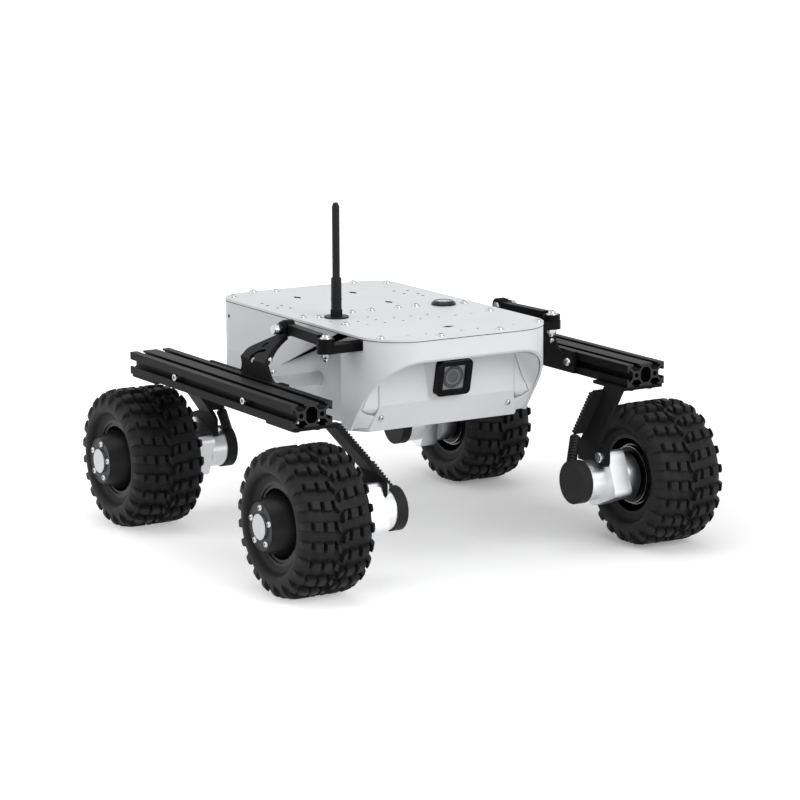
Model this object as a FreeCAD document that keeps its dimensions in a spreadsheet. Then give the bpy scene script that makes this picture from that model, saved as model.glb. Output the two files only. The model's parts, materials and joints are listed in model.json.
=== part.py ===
"""Planetary rover prototype: a four-wheeled rocker vehicle, millimetres.

+X is forward, +Y is the rover's left, +Z is up. The origin lies on the ground,
midway between the four wheels.
"""
import FreeCAD, Part
import Sketcher
import math
import os

Vector = FreeCAD.Vector
ORIGIN = Vector(0, 0, 0)
ALONG_X = Vector(1, 0, 0)
ALONG_Y = Vector(0, 1, 0)
ALONG_Z = Vector(0, 0, 1)

# Driving dimensions, one group for each assembly.
SIZES = {
    # Wheels
    "HalfWheelbase": 152.5,
    "HalfTrack": 179.0,
    "AxleOverhang": 2.5,
    "RailInset": 8.0,
    "WheelRadius": 64.0,
    "TyreWidth": 70.0,
    "TyreCarcassRadius": 58.6,
    "TyreCrownWidth": 44.0,
    "TyreShoulderWidth": 62.8,
    "TyreShoulderDrop": 3.4,
    "TyreEdgeDrop": 10.0,
    "TyreEdgeInset": 0.2,
    "TreadRows": 22,
    "KnobLength": 8.6,
    "KnobSink": 1.2,
    "CentreKnobNear": 2.0,
    "CentreKnobFar": 15.4,
    "OuterKnobNear": 17.6,
    "OuterKnobFar": 25.4,
    "OuterKnobDrop": 1.2,
    "ShoulderKnobNear": 28.0,
    "ShoulderKnobDrop": 2.6,
    "ShoulderKnobBend": 33.0,
    "ShoulderKnobBendDrop": 7.2,
    "ShoulderKnobEndDrop": 12.5,
    "TyreBeadRadius": 44.0,
    "TyreSeatRadius": 36.0,
    "TyreLipDepth": 8.0,
    "RimBarrelWall": 3.0,
    "RimDishDepth": 10.0,
    "RimDishWall": 3.0,
    "RimConeBaseRadius": 30.0,
    "RimConeFaceRadius": 20.5,
    "RimConeWall": 4.0,
    "RimFaceProud": 8.0,
    "HubFaceProud": 2.0,
    "HubFaceRadius": 9.8,
    "HubGap": 0.1,
    "HubBodyRadius": 24.0,
    "HubFlangeGap": 3.0,
    "HubFlangeThickness": 6.0,
    "HubCollarDepth": 4.0,
    "HubCollarGap": 0.5,
    "ShaftRadius": 5.0,
    "ShaftLength": 16.0,
    "ShaftEndGap": 1.0,
    "RunningFit": 0.05,
    # Motors
    "MotorInset": 29.0,
    "NeckLength": 16.5,
    "NeckRadius": 16.5,
    "GearboxLength": 18.0,
    "GearboxHalf": 21.7,
    "GearboxCorner": 7.0,
    "GearboxTilt": 22.0,
    "GearboxOffset": 4.5,
    "MotorLength": 15.5,
    "MotorRadius": 18.0,
    "MotorCapRadius": 19.3,
    "MotorCapLength": 10.0,
    "LeadRadius": 3.6,
    "LeadRootRear": 6.5,
    "LeadRise": 36.0,
    "LeadLean": 17.0,
    "LeadReach": 17.0,
    "LeadBow": 0.5,
    # Rocker profiles
    "ProfileWide": 40.0,
    "ProfileTall": 20.0,
    "ProfileCentreZ": 152.6,
    "SlotMouth": 6.2,
    "SlotFloor": 11.0,
    "SlotLip": 1.8,
    "SlotShoulder": 0.8,
    "SlotFootWide": 5.6,
    "SlotDepth": 6.0,
    "CoreHoleRadius": 2.1,
    "CentreVoidWide": 8.4,
    "CentreVoidTall": 13.0,
    "CentreVoidCorner": 1.9,
    # Motor brackets
    "BracketSheet": 3.0,
    "BracketWebWide": 26.5,
    "BracketWebTopInset": 3.8,
    "BracketWebFootReach": 8.0,
    "BracketBendInset": 4.4,
    "BracketBendZ": 99.0,
    "BracketRibDepth": 10.8,
    "BracketRibTopZ": 138.0,
    "BracketRibLowZ": 103.0,
    "BracketTopRear": 49.5,
    "BracketTopInset": 2.0,
    "BracketFootRear": 23.0,
    "BracketFootFront": 22.5,
    "BracketFootLow": 15.0,
    "BracketEarHigh": 30.7,
    "CanClearance": 0.3,
    # Rocker brackets
    "RockerSheet": 3.0,
    "RockerPlateLength": 141.0,
    "RockerPlateTall": 20.2,
    "RockerPlateLift": 0.4,
    "RockerBendZ": 176.0,
    "RockerEarY": 118.5,
    "RockerEarBendZ": 193.0,
    "RockerEarZ": 199.5,
    "RockerEarX": 4.0,
    "RockerEarRadius": 6.5,
    "RockerNeckRear": 17.0,
    "RockerNeckFront": 34.0,
    "RockerFlangeDepth": 4.0,
    "RockerSlotX": 9.0,
    "RockerSlotRise": 7.5,
    "RockerSlotRadius": 6.6,
    "RockerSlotWide": 4.4,
    "RockerVentX": -0.8,
    "RockerVentRise": 21.5,
    "RockerVentLength": 7.0,
    "RockerVentWide": 3.0,
    "PivotZ": 151.0,
    "PivotRadius": 6.0,
    "PivotClearance": 0.3,
    "PivotInnerEnd": 5.0,
    "PivotFlangeRadius": 9.0,
    "PivotFlangeThickness": 5.0,
    # Differential bar and links
    "BarX": 80.2,
    "BarEndY": 117.0,
    "BarBottomZ": 189.0,
    "BarTall": 7.5,
    "BarWide": 14.0,
    "BarBossRadius": 8.0,
    "LinkEyeThickness": 5.5,
    "LinkEyeRadius": 7.5,
    "LinkClearance": 1.0,
    "LinkTall": 9.0,
    "LinkWide": 8.0,
    "LinkGroove": 2.0,
    "LinkPinRadius": 2.5,
    # Body
    "PlateTopZ": 203.2,
    "PlateThickness": 2.5,
    "PlateFrontX": 133.5,
    "PlateRearX": 173.0,
    "PlateHalfWidth": 92.0,
    "FrontCornerRadius": 42.0,
    "RearCornerRadius": 30.0,
    "HullBottomZ": 115.0,
    "HullCreaseZ": 156.5,
    "HullTaper": 5.0,
    "HullWall": 2.0,
    "HullInset": 0.4,
    "NoseRearX": 62.0,
    "FlapHingeX": 47.0,
    "FlapDepth": 29.0,
    "FlapSlope": 0.43,
    "NoseWall": 2.5,
    "NoseBottomZ": 117.5,
    "ArchTopZ": 184.3,
    "ArchLowX": 77.0,
    "ArchBulge": 2.8,
    "BarSlotFrontX": 99.0,
    "BarSlotBottomZ": 185.0,
    "BarSlotRise": 4.5,
    "PanelX": 90.5,
    "PanelHalfWidth": 69.5,
    "PanelCreaseZ": 139.2,
    "PanelLowX": 81.7,
    "PanelLowZ": 115.4,
    "PanelWall": 2.5,
    "PanelGap": 0.1,
    "WingRearX": 64.5,
    # Camera
    "CameraX": 102.4,
    "CameraZ": 159.0,
    "CameraPitch": 12.0,
    "CameraWide": 35.0,
    "CameraTall": 32.5,
    "CameraDepth": 11.0,
    "CameraCorner": 4.5,
    "WindowSize": 23.0,
    "WindowRecess": 1.6,
    "WindowThickness": 2.0,
    "LensRadius": 8.5,
    "LensDepth": 5.0,
    "LensGap": 0.5,
    "WindowGap": 0.1,
    "BossTopHalfWidth": 26.0,
    "BossLowHalfWidth": 20.5,
    "BossTopZ": 177.0,
    "BossLowZ": 140.5,
    "BossSetback": 6.0,
    # Deck pieces
    "AntennaX": -2.3,
    "AntennaY": -58.6,
    "AntennaBaseRadius": 11.0,
    "AntennaBaseHeight": 1.5,
    "AntennaLowRadius": 4.7,
    "AntennaLowHeight": 35.0,
    "AntennaTopRadius": 3.4,
    "AntennaTipRadius": 2.0,
    "AntennaHeight": 103.0,
    "ButtonX": -11.6,
    "ButtonY": 59.7,
    "ButtonRadius": 11.3,
    "ButtonHeight": 3.6,
    "ButtonBevel": 1.8,
    "DeckHolePitch": 18.0,
    "DeckHoleRadius": 1.6,
    "DeckRowFrontX": 113.0,
    "DeckRowMiddleX": 44.0,
    "BatteryLength": 110.0,
    "BatteryWide": 90.0,
    "BatteryTall": 45.0,
}

document = FreeCAD.newDocument("RoverPrototype")
sheet = document.addObject("Spreadsheet::Sheet", "Sizes")
for row, (alias, number) in enumerate(SIZES.items(), start=1):
    sheet.set(f"A{row}", alias)
    sheet.set(f"B{row}", str(number))
    sheet.setAlias(f"B{row}", alias)
document.recompute()


class Length:
    """A size that carries its number and its formula in the sheet's cells."""

    def __init__(self, number, formula):
        self.number = float(number)
        self.formula = formula

    def joined(self, other, sign, number):
        return Length(number, f"({self.formula} {sign} {as_length(other).formula})")

    def __add__(self, other):
        return self.joined(other, "+", self.number + float(other))

    def __radd__(self, other):
        return as_length(other) + self

    def __sub__(self, other):
        return self.joined(other, "-", self.number - float(other))

    def __rsub__(self, other):
        return as_length(other) - self

    def __mul__(self, other):
        return self.joined(other, "*", self.number * float(other))

    def __rmul__(self, other):
        return self * other

    def __truediv__(self, other):
        return self.joined(other, "/", self.number / float(other))

    def __neg__(self):
        return self * -1

    def __float__(self):
        return self.number


def as_length(value):
    """Give a plain number the form of a size."""
    if isinstance(value, Length):
        return value
    return Length(value, repr(float(value)))


def size(alias):
    """Read one driving dimension from the sheet."""
    return Length(getattr(sheet, alias), f"Sizes.{alias}")


def bind(thing, name, value):
    """Set a property and tie it to its formula."""
    value = as_length(value)
    thing.setExpression(name, value.formula)


def place(thing, x=0, y=0, z=0, turn=0):
    """Put a piece at its seat, with a turn in degrees about the vertical."""
    rotation = FreeCAD.Rotation(ALONG_Z, turn)
    thing.Placement = FreeCAD.Placement(Vector(float(x), float(y), float(z)), rotation)
    for axis, value in (("x", x), ("y", y), ("z", z)):
        if isinstance(value, Length):
            bind(thing, f"Placement.Base.{axis}", value)


# Bodies, sketches and features

def new_body(label):
    """Start a body whose label names its file."""
    body = document.addObject("PartDesign::Body", label)
    body.Label = label
    return body


def new_sketch(body, name, role, offset=None):
    """Attach a sketch to one of its body's origin planes."""
    base = [item for item in body.Origin.OriginFeatures if item.Role == role][0]
    sketch = body.newObject("Sketcher::SketchObject", name)
    sketch.AttachmentSupport = [(base, "")]
    sketch.MapMode = "FlatFace"
    if offset is not None:
        bind(sketch, "AttachmentOffset.Base.z", offset)
    return sketch


def pin_point(sketch, geometry, end, x, y):
    """Fix a sketch point at two bound distances from the sketch's origin."""
    for kind, value, axis in (("DistanceX", as_length(x), -2), ("DistanceY", as_length(y), -1)):
        if abs(value.number) < 1e-9:
            sketch.addConstraint(Sketcher.Constraint("PointOnObject", geometry, end, axis))
            continue
        if value.number > 0:
            rule = Sketcher.Constraint(kind, -1, 1, geometry, end, value.number)
            formula = value.formula
        else:
            rule = Sketcher.Constraint(kind, geometry, end, -1, 1, -value.number)
            formula = (-value).formula
        index = sketch.addConstraint(rule)
        sketch.setExpression(f"Constraints[{index}]", formula)


def draw_outline(sketch, corners):
    """Draw a closed outline of straight sides through bound corners."""
    ends = [Vector(float(x), float(y), 0) for x, y in corners]
    count = len(corners)
    first = sketch.GeometryCount
    for index in range(count):
        sketch.addGeometry(Part.LineSegment(ends[index], ends[(index + 1) % count]))
    for index in range(count):
        following = (index + 1) % count
        sketch.addConstraint(
            Sketcher.Constraint("Coincident", first + index, 2, first + following, 1))
    for index, (x, y) in enumerate(corners):
        pin_point(sketch, first + index, 1, x, y)


def draw_circle(sketch, x, y, radius):
    """Draw a circle with a bound centre and radius."""
    centre = Vector(float(x), float(y), 0)
    geometry = sketch.addGeometry(Part.Circle(centre, ALONG_Z, float(radius)))
    pin_point(sketch, geometry, 3, x, y)
    index = sketch.addConstraint(Sketcher.Constraint("Radius", geometry, float(radius)))
    sketch.setExpression(f"Constraints[{index}]", as_length(radius).formula)


def pad(body, sketch, length, symmetric=False, reverse=False):
    """Raise a sketch into a solid."""
    feature = body.newObject("PartDesign::Pad", "Pad")
    feature.Profile = sketch
    bind(feature, "Length", length)
    feature.SideType = "Symmetric" if symmetric else "One side"
    feature.Reversed = reverse
    return feature


def revolve(body, sketch, axis="H_Axis"):
    """Turn a sketch fully round one of its own axes."""
    feature = body.newObject("PartDesign::Revolution", "Revolution")
    feature.Profile = sketch
    feature.ReferenceAxis = (sketch, [axis])
    feature.Angle = 360
    return feature


def add_shape(label, shape, x=0, y=0, z=0, turn=0):
    """Keep a shape made from the sheet's sizes as a piece of its own."""
    piece = document.addObject("Part::Feature", label)
    piece.Label = label
    piece.Shape = shape
    place(piece, x, y, z, turn)
    return piece


# Plain shapes in rover coordinates

def block(x_from, x_to, y_from, y_to, z_from, z_to):
    """A box between two corners."""
    low = Vector(float(x_from), float(y_from), float(z_from))
    high = Vector(float(x_to), float(y_to), float(z_to))
    span = high - low
    return Part.makeBox(span.x, span.y, span.z, low)


def prism(corners, sweep):
    """A closed polygon of points swept along a vector."""
    points = [Vector(*corner) for corner in corners]
    return Part.Face(Part.makePolygon(points + points[:1])).extrude(sweep)


def plan_prism(corners, z_from, z_to):
    """A polygon in plan between two heights."""
    low = float(z_from)
    return prism([(x, y, low) for x, y in corners], Vector(0, 0, float(z_to) - low))


def side_prism(corners, half_width):
    """A polygon in side view, as wide as the rover's body."""
    reach = float(half_width)
    return prism([(x, -reach, z) for x, z in corners], Vector(0, 2 * reach, 0))


def mirrored(shape):
    """The same shape on the rover's other side."""
    return shape.mirror(ORIGIN, ALONG_Y)


def deck_outline(inset, z_from, z_to):
    """The deck's rounded plan outline as a solid, pulled in by an inset."""
    inset = float(inset)
    front = float(size("PlateFrontX")) - inset
    rear = -float(size("PlateRearX")) + inset
    side = float(size("PlateHalfWidth")) - inset
    nose = float(size("FrontCornerRadius")) - inset
    tail = float(size("RearCornerRadius")) - inset
    z = float(z_from)
    half = math.sqrt(0.5)

    def corner(centre_x, centre_y, radius, sign_x, sign_y):
        middle = Vector(centre_x + sign_x * radius * half, centre_y + sign_y * radius * half, z)
        side_on = Vector(centre_x, centre_y + sign_y * radius, z)
        end_on = Vector(centre_x + sign_x * radius, centre_y, z)
        return side_on, middle, end_on

    front_left = corner(front - nose, side - nose, nose, 1, 1)
    front_right = corner(front - nose, -side + nose, nose, 1, -1)
    rear_right = corner(rear + tail, -side + tail, tail, -1, -1)
    rear_left = corner(rear + tail, side - tail, tail, -1, 1)
    edges = [
        Part.Arc(*front_left).toShape(),
        Part.LineSegment(front_left[2], front_right[2]).toShape(),
        Part.Arc(front_right[2], front_right[1], front_right[0]).toShape(),
        Part.LineSegment(front_right[0], rear_right[0]).toShape(),
        Part.Arc(*rear_right).toShape(),
        Part.LineSegment(rear_right[2], rear_left[2]).toShape(),
        Part.Arc(rear_left[2], rear_left[1], rear_left[0]).toShape(),
        Part.LineSegment(rear_left[0], front_left[0]).toShape(),
    ]
    return Part.Face(Part.Wire(edges)).extrude(Vector(0, 0, float(z_to) - z))


# Deck plate

PLATE_BOTTOM = size("PlateTopZ") - size("PlateThickness")


def deck_holes():
    """Plan places of the four threaded holes that take a payload."""
    reach = size("DeckHolePitch") * 3
    return [(x, y) for x in (size("DeckRowMiddleX"), size("DeckRowFrontX"))
            for y in (-reach, reach)]


def make_top_plate():
    """The flat deck with its payload holes."""
    plate = deck_outline(0, PLATE_BOTTOM, size("PlateTopZ"))
    radius = float(size("DeckHoleRadius"))
    drill = float(size("PlateThickness")) * 3
    for x, y in deck_holes():
        foot = Vector(float(x), float(y), float(PLATE_BOTTOM) - float(size("PlateThickness")))
        plate = plate.cut(Part.makeCylinder(radius, drill, foot))
    return add_shape("top_plate", plate)


# Hull

def hull_solid(inset):
    """The hull's outer form: plan outline with sides that taper below the crease."""
    inset = float(inset)
    crease = float(size("HullCreaseZ"))
    bottom = float(size("HullBottomZ")) + inset
    top = float(PLATE_BOTTOM)
    rear = float(size("PlateRearX"))
    nose = float(size("NoseRearX"))
    side = float(size("PlateHalfWidth")) - float(size("HullInset")) - inset
    low = side - float(size("HullTaper"))
    section = [(-side, top), (-side, crease), (-low, bottom),
               (low, bottom), (side, crease), (side, top)]
    length = rear + nose
    cross = prism([(-rear, y, z) for y, z in section], Vector(length, 0, 0))
    return cross.common(deck_outline(float(size("HullInset")) + inset, bottom, top))


def flap_plan(depth_shift):
    """Plan line of the pushed-in side flap, from its hinge to the nose."""
    hinge = -float(size("FlapHingeX"))
    nose = float(size("NoseRearX"))
    side = -float(size("PlateHalfWidth")) + float(size("HullInset"))
    slope = float(size("FlapDepth")) / (nose - hinge)
    return hinge, nose, side + depth_shift, side + depth_shift + slope * (nose - hinge)


def below_diagonal():
    """Everything under the slanted cut that frees the flap."""
    hinge = -float(size("FlapHingeX"))
    crease = float(size("HullCreaseZ"))
    slope = float(size("FlapSlope"))
    nose = float(size("NoseRearX"))
    floor = float(size("HullBottomZ")) - 1
    top = crease + slope * (nose - hinge)
    corners = [(hinge, floor), (nose, floor), (nose, top), (hinge, crease)]
    return side_prism(corners, float(size("PlateHalfWidth")) + 1)


def make_body_shell():
    """The rear hull, whose sides fold in beside the rockers."""
    wall = float(size("HullWall"))
    shell = hull_solid(0).cut(hull_solid(wall))
    hinge, nose, hinge_y, nose_y = flap_plan(0)
    outside = float(size("PlateHalfWidth")) + 1
    wedge = plan_prism([(hinge, -outside), (nose, -outside), (nose, nose_y), (hinge, hinge_y)],
                       float(size("HullBottomZ")) - 1, PLATE_BOTTOM)
    wedge = wedge.common(below_diagonal())
    flap = plan_prism([(hinge, hinge_y), (nose, nose_y), (nose, nose_y + wall),
                       (hinge, hinge_y + wall)], size("HullBottomZ"), PLATE_BOTTOM)
    flap = flap.common(below_diagonal()).common(hull_solid(0))
    shell = shell.cut(wedge).cut(mirrored(wedge)).fuse(flap).fuse(mirrored(flap))
    pivot_hole = Part.makeCylinder(float(size("PivotRadius")) + float(size("PivotClearance")),
                                   2 * outside, Vector(0, -outside, float(size("PivotZ"))), ALONG_Y)
    return add_shape("body_shell", shell.cut(pivot_hole).removeSplitter())


# Nose

def arch_cut():
    """The region in front of the slanted, slightly bowed cut through the nose."""
    low = Vector(float(size("ArchLowX")), 0, float(size("NoseBottomZ")))
    top = Vector(float(size("PlateFrontX")), 0, float(size("ArchTopZ")))
    along = (top - low).normalize()
    bow = Vector(-along.z, 0, along.x) * float(size("ArchBulge"))
    middle = (low + top) * 0.5 + bow
    reach = float(size("PlateHalfWidth")) + 5
    beyond = top.x + (top.x - low.x)
    floor = low.z - (top.z - low.z)
    ahead = Vector(beyond, 0, top.z)
    under = Vector(beyond, 0, floor)
    back_under = Vector(low.x, 0, floor)
    edges = [
        Part.Arc(low, middle, top).toShape(),
        Part.LineSegment(top, ahead).toShape(),
        Part.LineSegment(ahead, under).toShape(),
        Part.LineSegment(under, back_under).toShape(),
        Part.LineSegment(back_under, low).toShape(),
    ]
    face = Part.Face(Part.Wire(edges))
    face.translate(Vector(0, -reach, 0))
    return face.extrude(Vector(0, 2 * reach, 0))


def make_nose_shell():
    """The nose's outer wall with its arched front and the slots for the bar."""
    wall = float(size("NoseWall"))
    inset = float(size("HullInset"))
    bottom = size("NoseBottomZ")
    ring = deck_outline(inset, bottom, PLATE_BOTTOM)
    ring = ring.cut(deck_outline(inset + wall, bottom, PLATE_BOTTOM))
    side = float(size("PlateHalfWidth")) + 1
    rear = float(size("NoseRearX"))
    front = float(size("PlateFrontX")) + 1
    ring = ring.common(block(rear, front, -side, side, bottom, PLATE_BOTTOM))
    low = float(size("BarSlotBottomZ"))
    slot_front = float(size("BarSlotFrontX"))
    slots = side_prism([(rear - 1, low), (rear, low), (slot_front, low + float(size("BarSlotRise"))),
                        (slot_front, float(PLATE_BOTTOM) + 1), (rear - 1, float(PLATE_BOTTOM) + 1)],
                       side)
    return add_shape("nose_shell", ring.cut(arch_cut()).cut(slots))


def panel_solid(shift):
    """The nose panel's front form, pushed back by a shift."""
    front = float(size("PanelX"))
    half = float(size("PanelHalfWidth"))
    wing_x = float(size("WingRearX"))
    inner = float(size("PlateHalfWidth") - size("HullInset") - size("NoseWall") - size("PanelGap"))
    low_x = float(size("PanelLowX"))
    low_z = float(size("PanelLowZ"))
    crease = float(size("PanelCreaseZ"))
    top = float(size("BarSlotBottomZ"))
    back = wing_x - 1
    plan = plan_prism([(back, -inner), (wing_x, -inner), (front, -half), (front, half),
                       (wing_x, inner), (back, inner)], low_z, top)
    ahead = 2 * front - low_x
    foot = side_prism([(low_x, low_z), (front, crease), (ahead, crease), (ahead, low_z)], inner + 1)
    solid = plan.cut(foot)
    solid.translate(Vector(-float(shift), 0, 0))
    return solid


def camera_placement():
    """Frame of the camera: +X looks out, pitched down."""
    turn = FreeCAD.Rotation(ALONG_Y, float(size("CameraPitch")))
    return FreeCAD.Placement(Vector(float(size("CameraX")), 0, float(size("CameraZ"))), turn)


def in_camera(shape):
    """Move a shape from the camera's frame into the rover's."""
    return shape.transformed(camera_placement().toMatrix(), True)


def camera_seat():
    """The flared boss between the panel and the camera housing."""
    half_wide = float(size("CameraWide")) / 2
    half_tall = float(size("CameraTall")) / 2
    back = -float(size("BossSetback"))
    seat = camera_placement()
    rim = [seat.multVec(Vector(back, y, z)) for y, z in (
        (-half_wide, -half_tall), (half_wide, -half_tall),
        (half_wide, half_tall), (-half_wide, half_tall))]
    low = float(size("BossLowHalfWidth"))
    top = float(size("BossTopHalfWidth"))
    root_x = float(size("PanelX")) - float(size("PanelWall")) / 2
    root = [Vector(root_x, y, z) for y, z in (
        (-low, float(size("BossLowZ"))), (low, float(size("BossLowZ"))),
        (top, float(size("BossTopZ"))), (-top, float(size("BossTopZ"))))]
    wires = [Part.makePolygon(points + points[:1]) for points in (root, rim)]
    return Part.makeLoft(wires, True, True)


def camera_box():
    """The housing's outer form in rover coordinates."""
    wide = float(size("CameraWide"))
    tall = float(size("CameraTall"))
    depth = float(size("CameraDepth"))
    box = Part.makeBox(depth, wide, tall, Vector(-depth, -wide / 2, -tall / 2))
    lengthwise = [edge for edge in box.Edges
                  if abs(edge.Vertexes[0].X - edge.Vertexes[1].X) > depth / 2]
    return in_camera(box.makeFillet(float(size("CameraCorner")), lengthwise))


def make_nose_panel():
    """The recessed front panel with its raised seat for the camera."""
    panel = panel_solid(0).cut(panel_solid(size("PanelWall")))
    panel = panel.fuse(camera_seat()).cut(camera_box())
    return add_shape("nose_panel", panel.removeSplitter())


# Camera

def camera_cylinder(radius, front, back):
    """A round about the lens axis between two depths behind the housing's face."""
    return in_camera(Part.makeCylinder(float(radius), float(back) - float(front),
                                       Vector(-float(back), 0, 0), ALONG_X))


def make_camera_housing():
    """The square camera housing with its recessed front."""
    window = float(size("WindowSize"))
    recess = float(size("WindowRecess")) + float(size("WindowThickness"))
    opening = Part.makeBox(recess, window, window, Vector(-recess, -window / 2, -window / 2))
    housing = camera_box().cut(in_camera(opening))
    lens_seat = camera_cylinder(size("LensRadius"), 0, recess + float(size("LensDepth")))
    return add_shape("camera_housing", housing.cut(lens_seat))


def make_camera_window():
    """The pane in front of the lens."""
    window = float(size("WindowSize") - size("WindowGap"))
    thick = float(size("WindowThickness"))
    back = -float(size("WindowRecess")) - thick
    pane = Part.makeBox(thick, window, window, Vector(back, -window / 2, -window / 2))
    return add_shape("camera_window", in_camera(pane))


def make_camera_lens():
    """The lens barrel behind the pane."""
    pane_back = size("WindowRecess") + size("WindowThickness")
    return add_shape("camera_lens", camera_cylinder(
        size("LensRadius"), pane_back + size("LensGap"), pane_back + size("LensDepth")))


# Deck pieces

def make_antenna():
    """The aerial: a base disc, a thick root and a slender round-tipped rod."""
    body = new_body("antenna")
    sketch = new_sketch(body, "Profile", "XZ_Plane")
    low = size("AntennaLowRadius")
    top = size("AntennaTopRadius")
    draw_outline(sketch, [
        (0, 0),
        (size("AntennaBaseRadius"), 0),
        (size("AntennaBaseRadius"), size("AntennaBaseHeight")),
        (low, size("AntennaBaseHeight")),
        (low, size("AntennaLowHeight")),
        (top, size("AntennaLowHeight") + (low - top)),
        (top, size("AntennaHeight") - top),
        (size("AntennaTipRadius"), size("AntennaHeight")),
        (0, size("AntennaHeight")),
    ])
    revolve(body, sketch, "V_Axis")
    place(body, size("AntennaX"), size("AntennaY"), size("PlateTopZ"))
    return body


def make_power_button():
    """The lit round push button on the deck."""
    body = new_body("power_button")
    sketch = new_sketch(body, "Profile", "XZ_Plane")
    radius = size("ButtonRadius")
    draw_outline(sketch, [
        (0, 0),
        (radius, 0),
        (radius, size("ButtonHeight") - size("ButtonBevel")),
        (radius - size("ButtonBevel"), size("ButtonHeight")),
        (0, size("ButtonHeight")),
    ])
    revolve(body, sketch, "V_Axis")
    place(body, size("ButtonX"), size("ButtonY"), size("PlateTopZ"))
    return body


# Rockers

RAIL_HALF = size("HalfWheelbase") - size("AxleOverhang")
RAIL_CENTRE = size("HalfTrack") - size("RailInset")
RAIL_INNER = RAIL_CENTRE - size("ProfileWide") / 2
RAIL_OUTER = RAIL_CENTRE + size("ProfileWide") / 2
RAIL_BOTTOM = size("ProfileCentreZ") - size("ProfileTall") / 2


def profile_section():
    """Cross-section of the slotted rail in (y, z), centred on its axis."""
    wide = float(size("ProfileWide")) / 2
    tall = float(size("ProfileTall")) / 2
    core = wide / 2
    mouth = float(size("SlotMouth")) / 2
    floor = float(size("SlotFloor")) / 2
    lip = float(size("SlotLip"))
    shoulder = float(size("SlotShoulder"))
    foot = float(size("SlotFootWide")) / 2
    depth = float(size("SlotDepth"))
    section = Part.makePlane(2 * wide, 2 * tall, Vector(-wide, -tall, 0))

    def slot(at, outward, reach):
        across = Vector(-outward.y, outward.x, 0)
        rim = at + outward * reach
        corners = [
            rim + across * mouth + outward,
            rim + across * mouth - outward * lip,
            rim + across * floor - outward * lip,
            rim + across * floor - outward * (lip + shoulder),
            rim + across * foot - outward * depth,
        ]
        other_side = [point - across * (2 * (point - at).dot(across)) for point in reversed(corners)]
        points = corners + other_side
        return Part.Face(Part.makePolygon(points + points[:1]))

    for centre in (-core, core):
        for direction in (1, -1):
            section = section.cut(slot(Vector(centre, 0, 0), Vector(0, direction, 0), tall))
    for direction in (1, -1):
        section = section.cut(slot(ORIGIN, Vector(direction, 0, 0), wide))
    for centre in (-core, core):
        hole = Part.Face(Part.Wire(Part.makeCircle(float(size("CoreHoleRadius")),
                                                   Vector(centre, 0, 0))))
        section = section.cut(hole)
    across = float(size("CentreVoidWide")) / 2
    up = float(size("CentreVoidTall")) / 2
    cut = float(size("CentreVoidCorner"))
    void = [(-across, -up + cut), (-across + cut, -up), (across - cut, -up), (across, -up + cut),
            (across, up - cut), (across - cut, up), (-across + cut, up), (-across, up - cut)]
    points = [Vector(x, y, 0) for x, y in void]
    return section.cut(Part.Face(Part.makePolygon(points + points[:1])))


def make_rocker_profile(side_name, sign):
    """One slotted aluminium rail."""
    length = 2 * float(RAIL_HALF)
    section = profile_section()
    to_rover = FreeCAD.Placement(ORIGIN, FreeCAD.Rotation(ALONG_Y, ALONG_Z, ALONG_X))
    section.Placement = to_rover.multiply(section.Placement)
    section.translate(Vector(-length / 2, 0, 0))
    rail = section.extrude(Vector(length, 0, 0))
    return add_shape(f"rocker_profile_{side_name}", rail,
                     y=sign * RAIL_CENTRE, z=size("ProfileCentreZ"))


def folded_section(path, sheet_wall):
    """Outline of a folded sheet in a plane: the path is its outer face, the wall lies right of it."""
    def heading(start, end):
        run = float(end[0]) - float(start[0])
        rise = float(end[1]) - float(start[1])
        length = math.hypot(run, rise)
        return run / length, rise / length

    legs = [heading(start, end) for start, end in zip(path, path[1:])]
    normals = [(rise, -run) for run, rise in legs]
    normals = [normals[0]] + normals + [normals[-1]]
    inner = []
    for corner, before, after in zip(path, normals, normals[1:]):
        share = 1 + before[0] * after[0] + before[1] * after[1]
        inner.append((corner[0] + sheet_wall * ((before[0] + after[0]) / share),
                      corner[1] + sheet_wall * ((before[1] + after[1]) / share)))
    return path + inner[::-1]


def rocker_section(sheet_wall):
    """The left rocker bracket's folded sheet, as long as its rail plate."""
    half = float(size("RockerPlateLength")) / 2
    path = [(size("RockerEarY"), size("RockerEarZ") + size("RockerEarRadius")),
            (size("RockerEarY"), size("RockerEarBendZ")),
            (RAIL_INNER, size("RockerBendZ")),
            (RAIL_INNER, RAIL_BOTTOM + size("RockerPlateLift"))]
    corners = [(-half, float(y), float(z)) for y, z in folded_section(path, sheet_wall)]
    return prism(corners, Vector(2 * half, 0, 0))


# The neck's edge curves, as shares of its reach along X and of the height between two bends.
NECK_FRONT_LOW = [(1.7, 0.0), (1.15, 0.3), (1.0, 0.85)]
NECK_FRONT_HIGH = [(0.78, 0.16), (0.46, 0.55)]
NECK_REAR_HIGH = [(0.45, 0.85), (0.75, 0.6), (1.0, 0.32), (0.75, 0.06)]
NECK_REAR_LOW = [(0.6, 0.7), (0.75, 0.0)]
EAR_FILLET = 0.1


def rocker_heights():
    """Heights of the rail plate's two edges, the two bends and the ear's crown."""
    low = float(RAIL_BOTTOM) + float(size("RockerPlateLift"))
    high = low + float(size("RockerPlateTall"))
    crown = float(size("RockerEarZ")) + float(size("RockerEarRadius"))
    return low, high, float(size("RockerBendZ")), float(size("RockerEarBendZ")), crown


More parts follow.
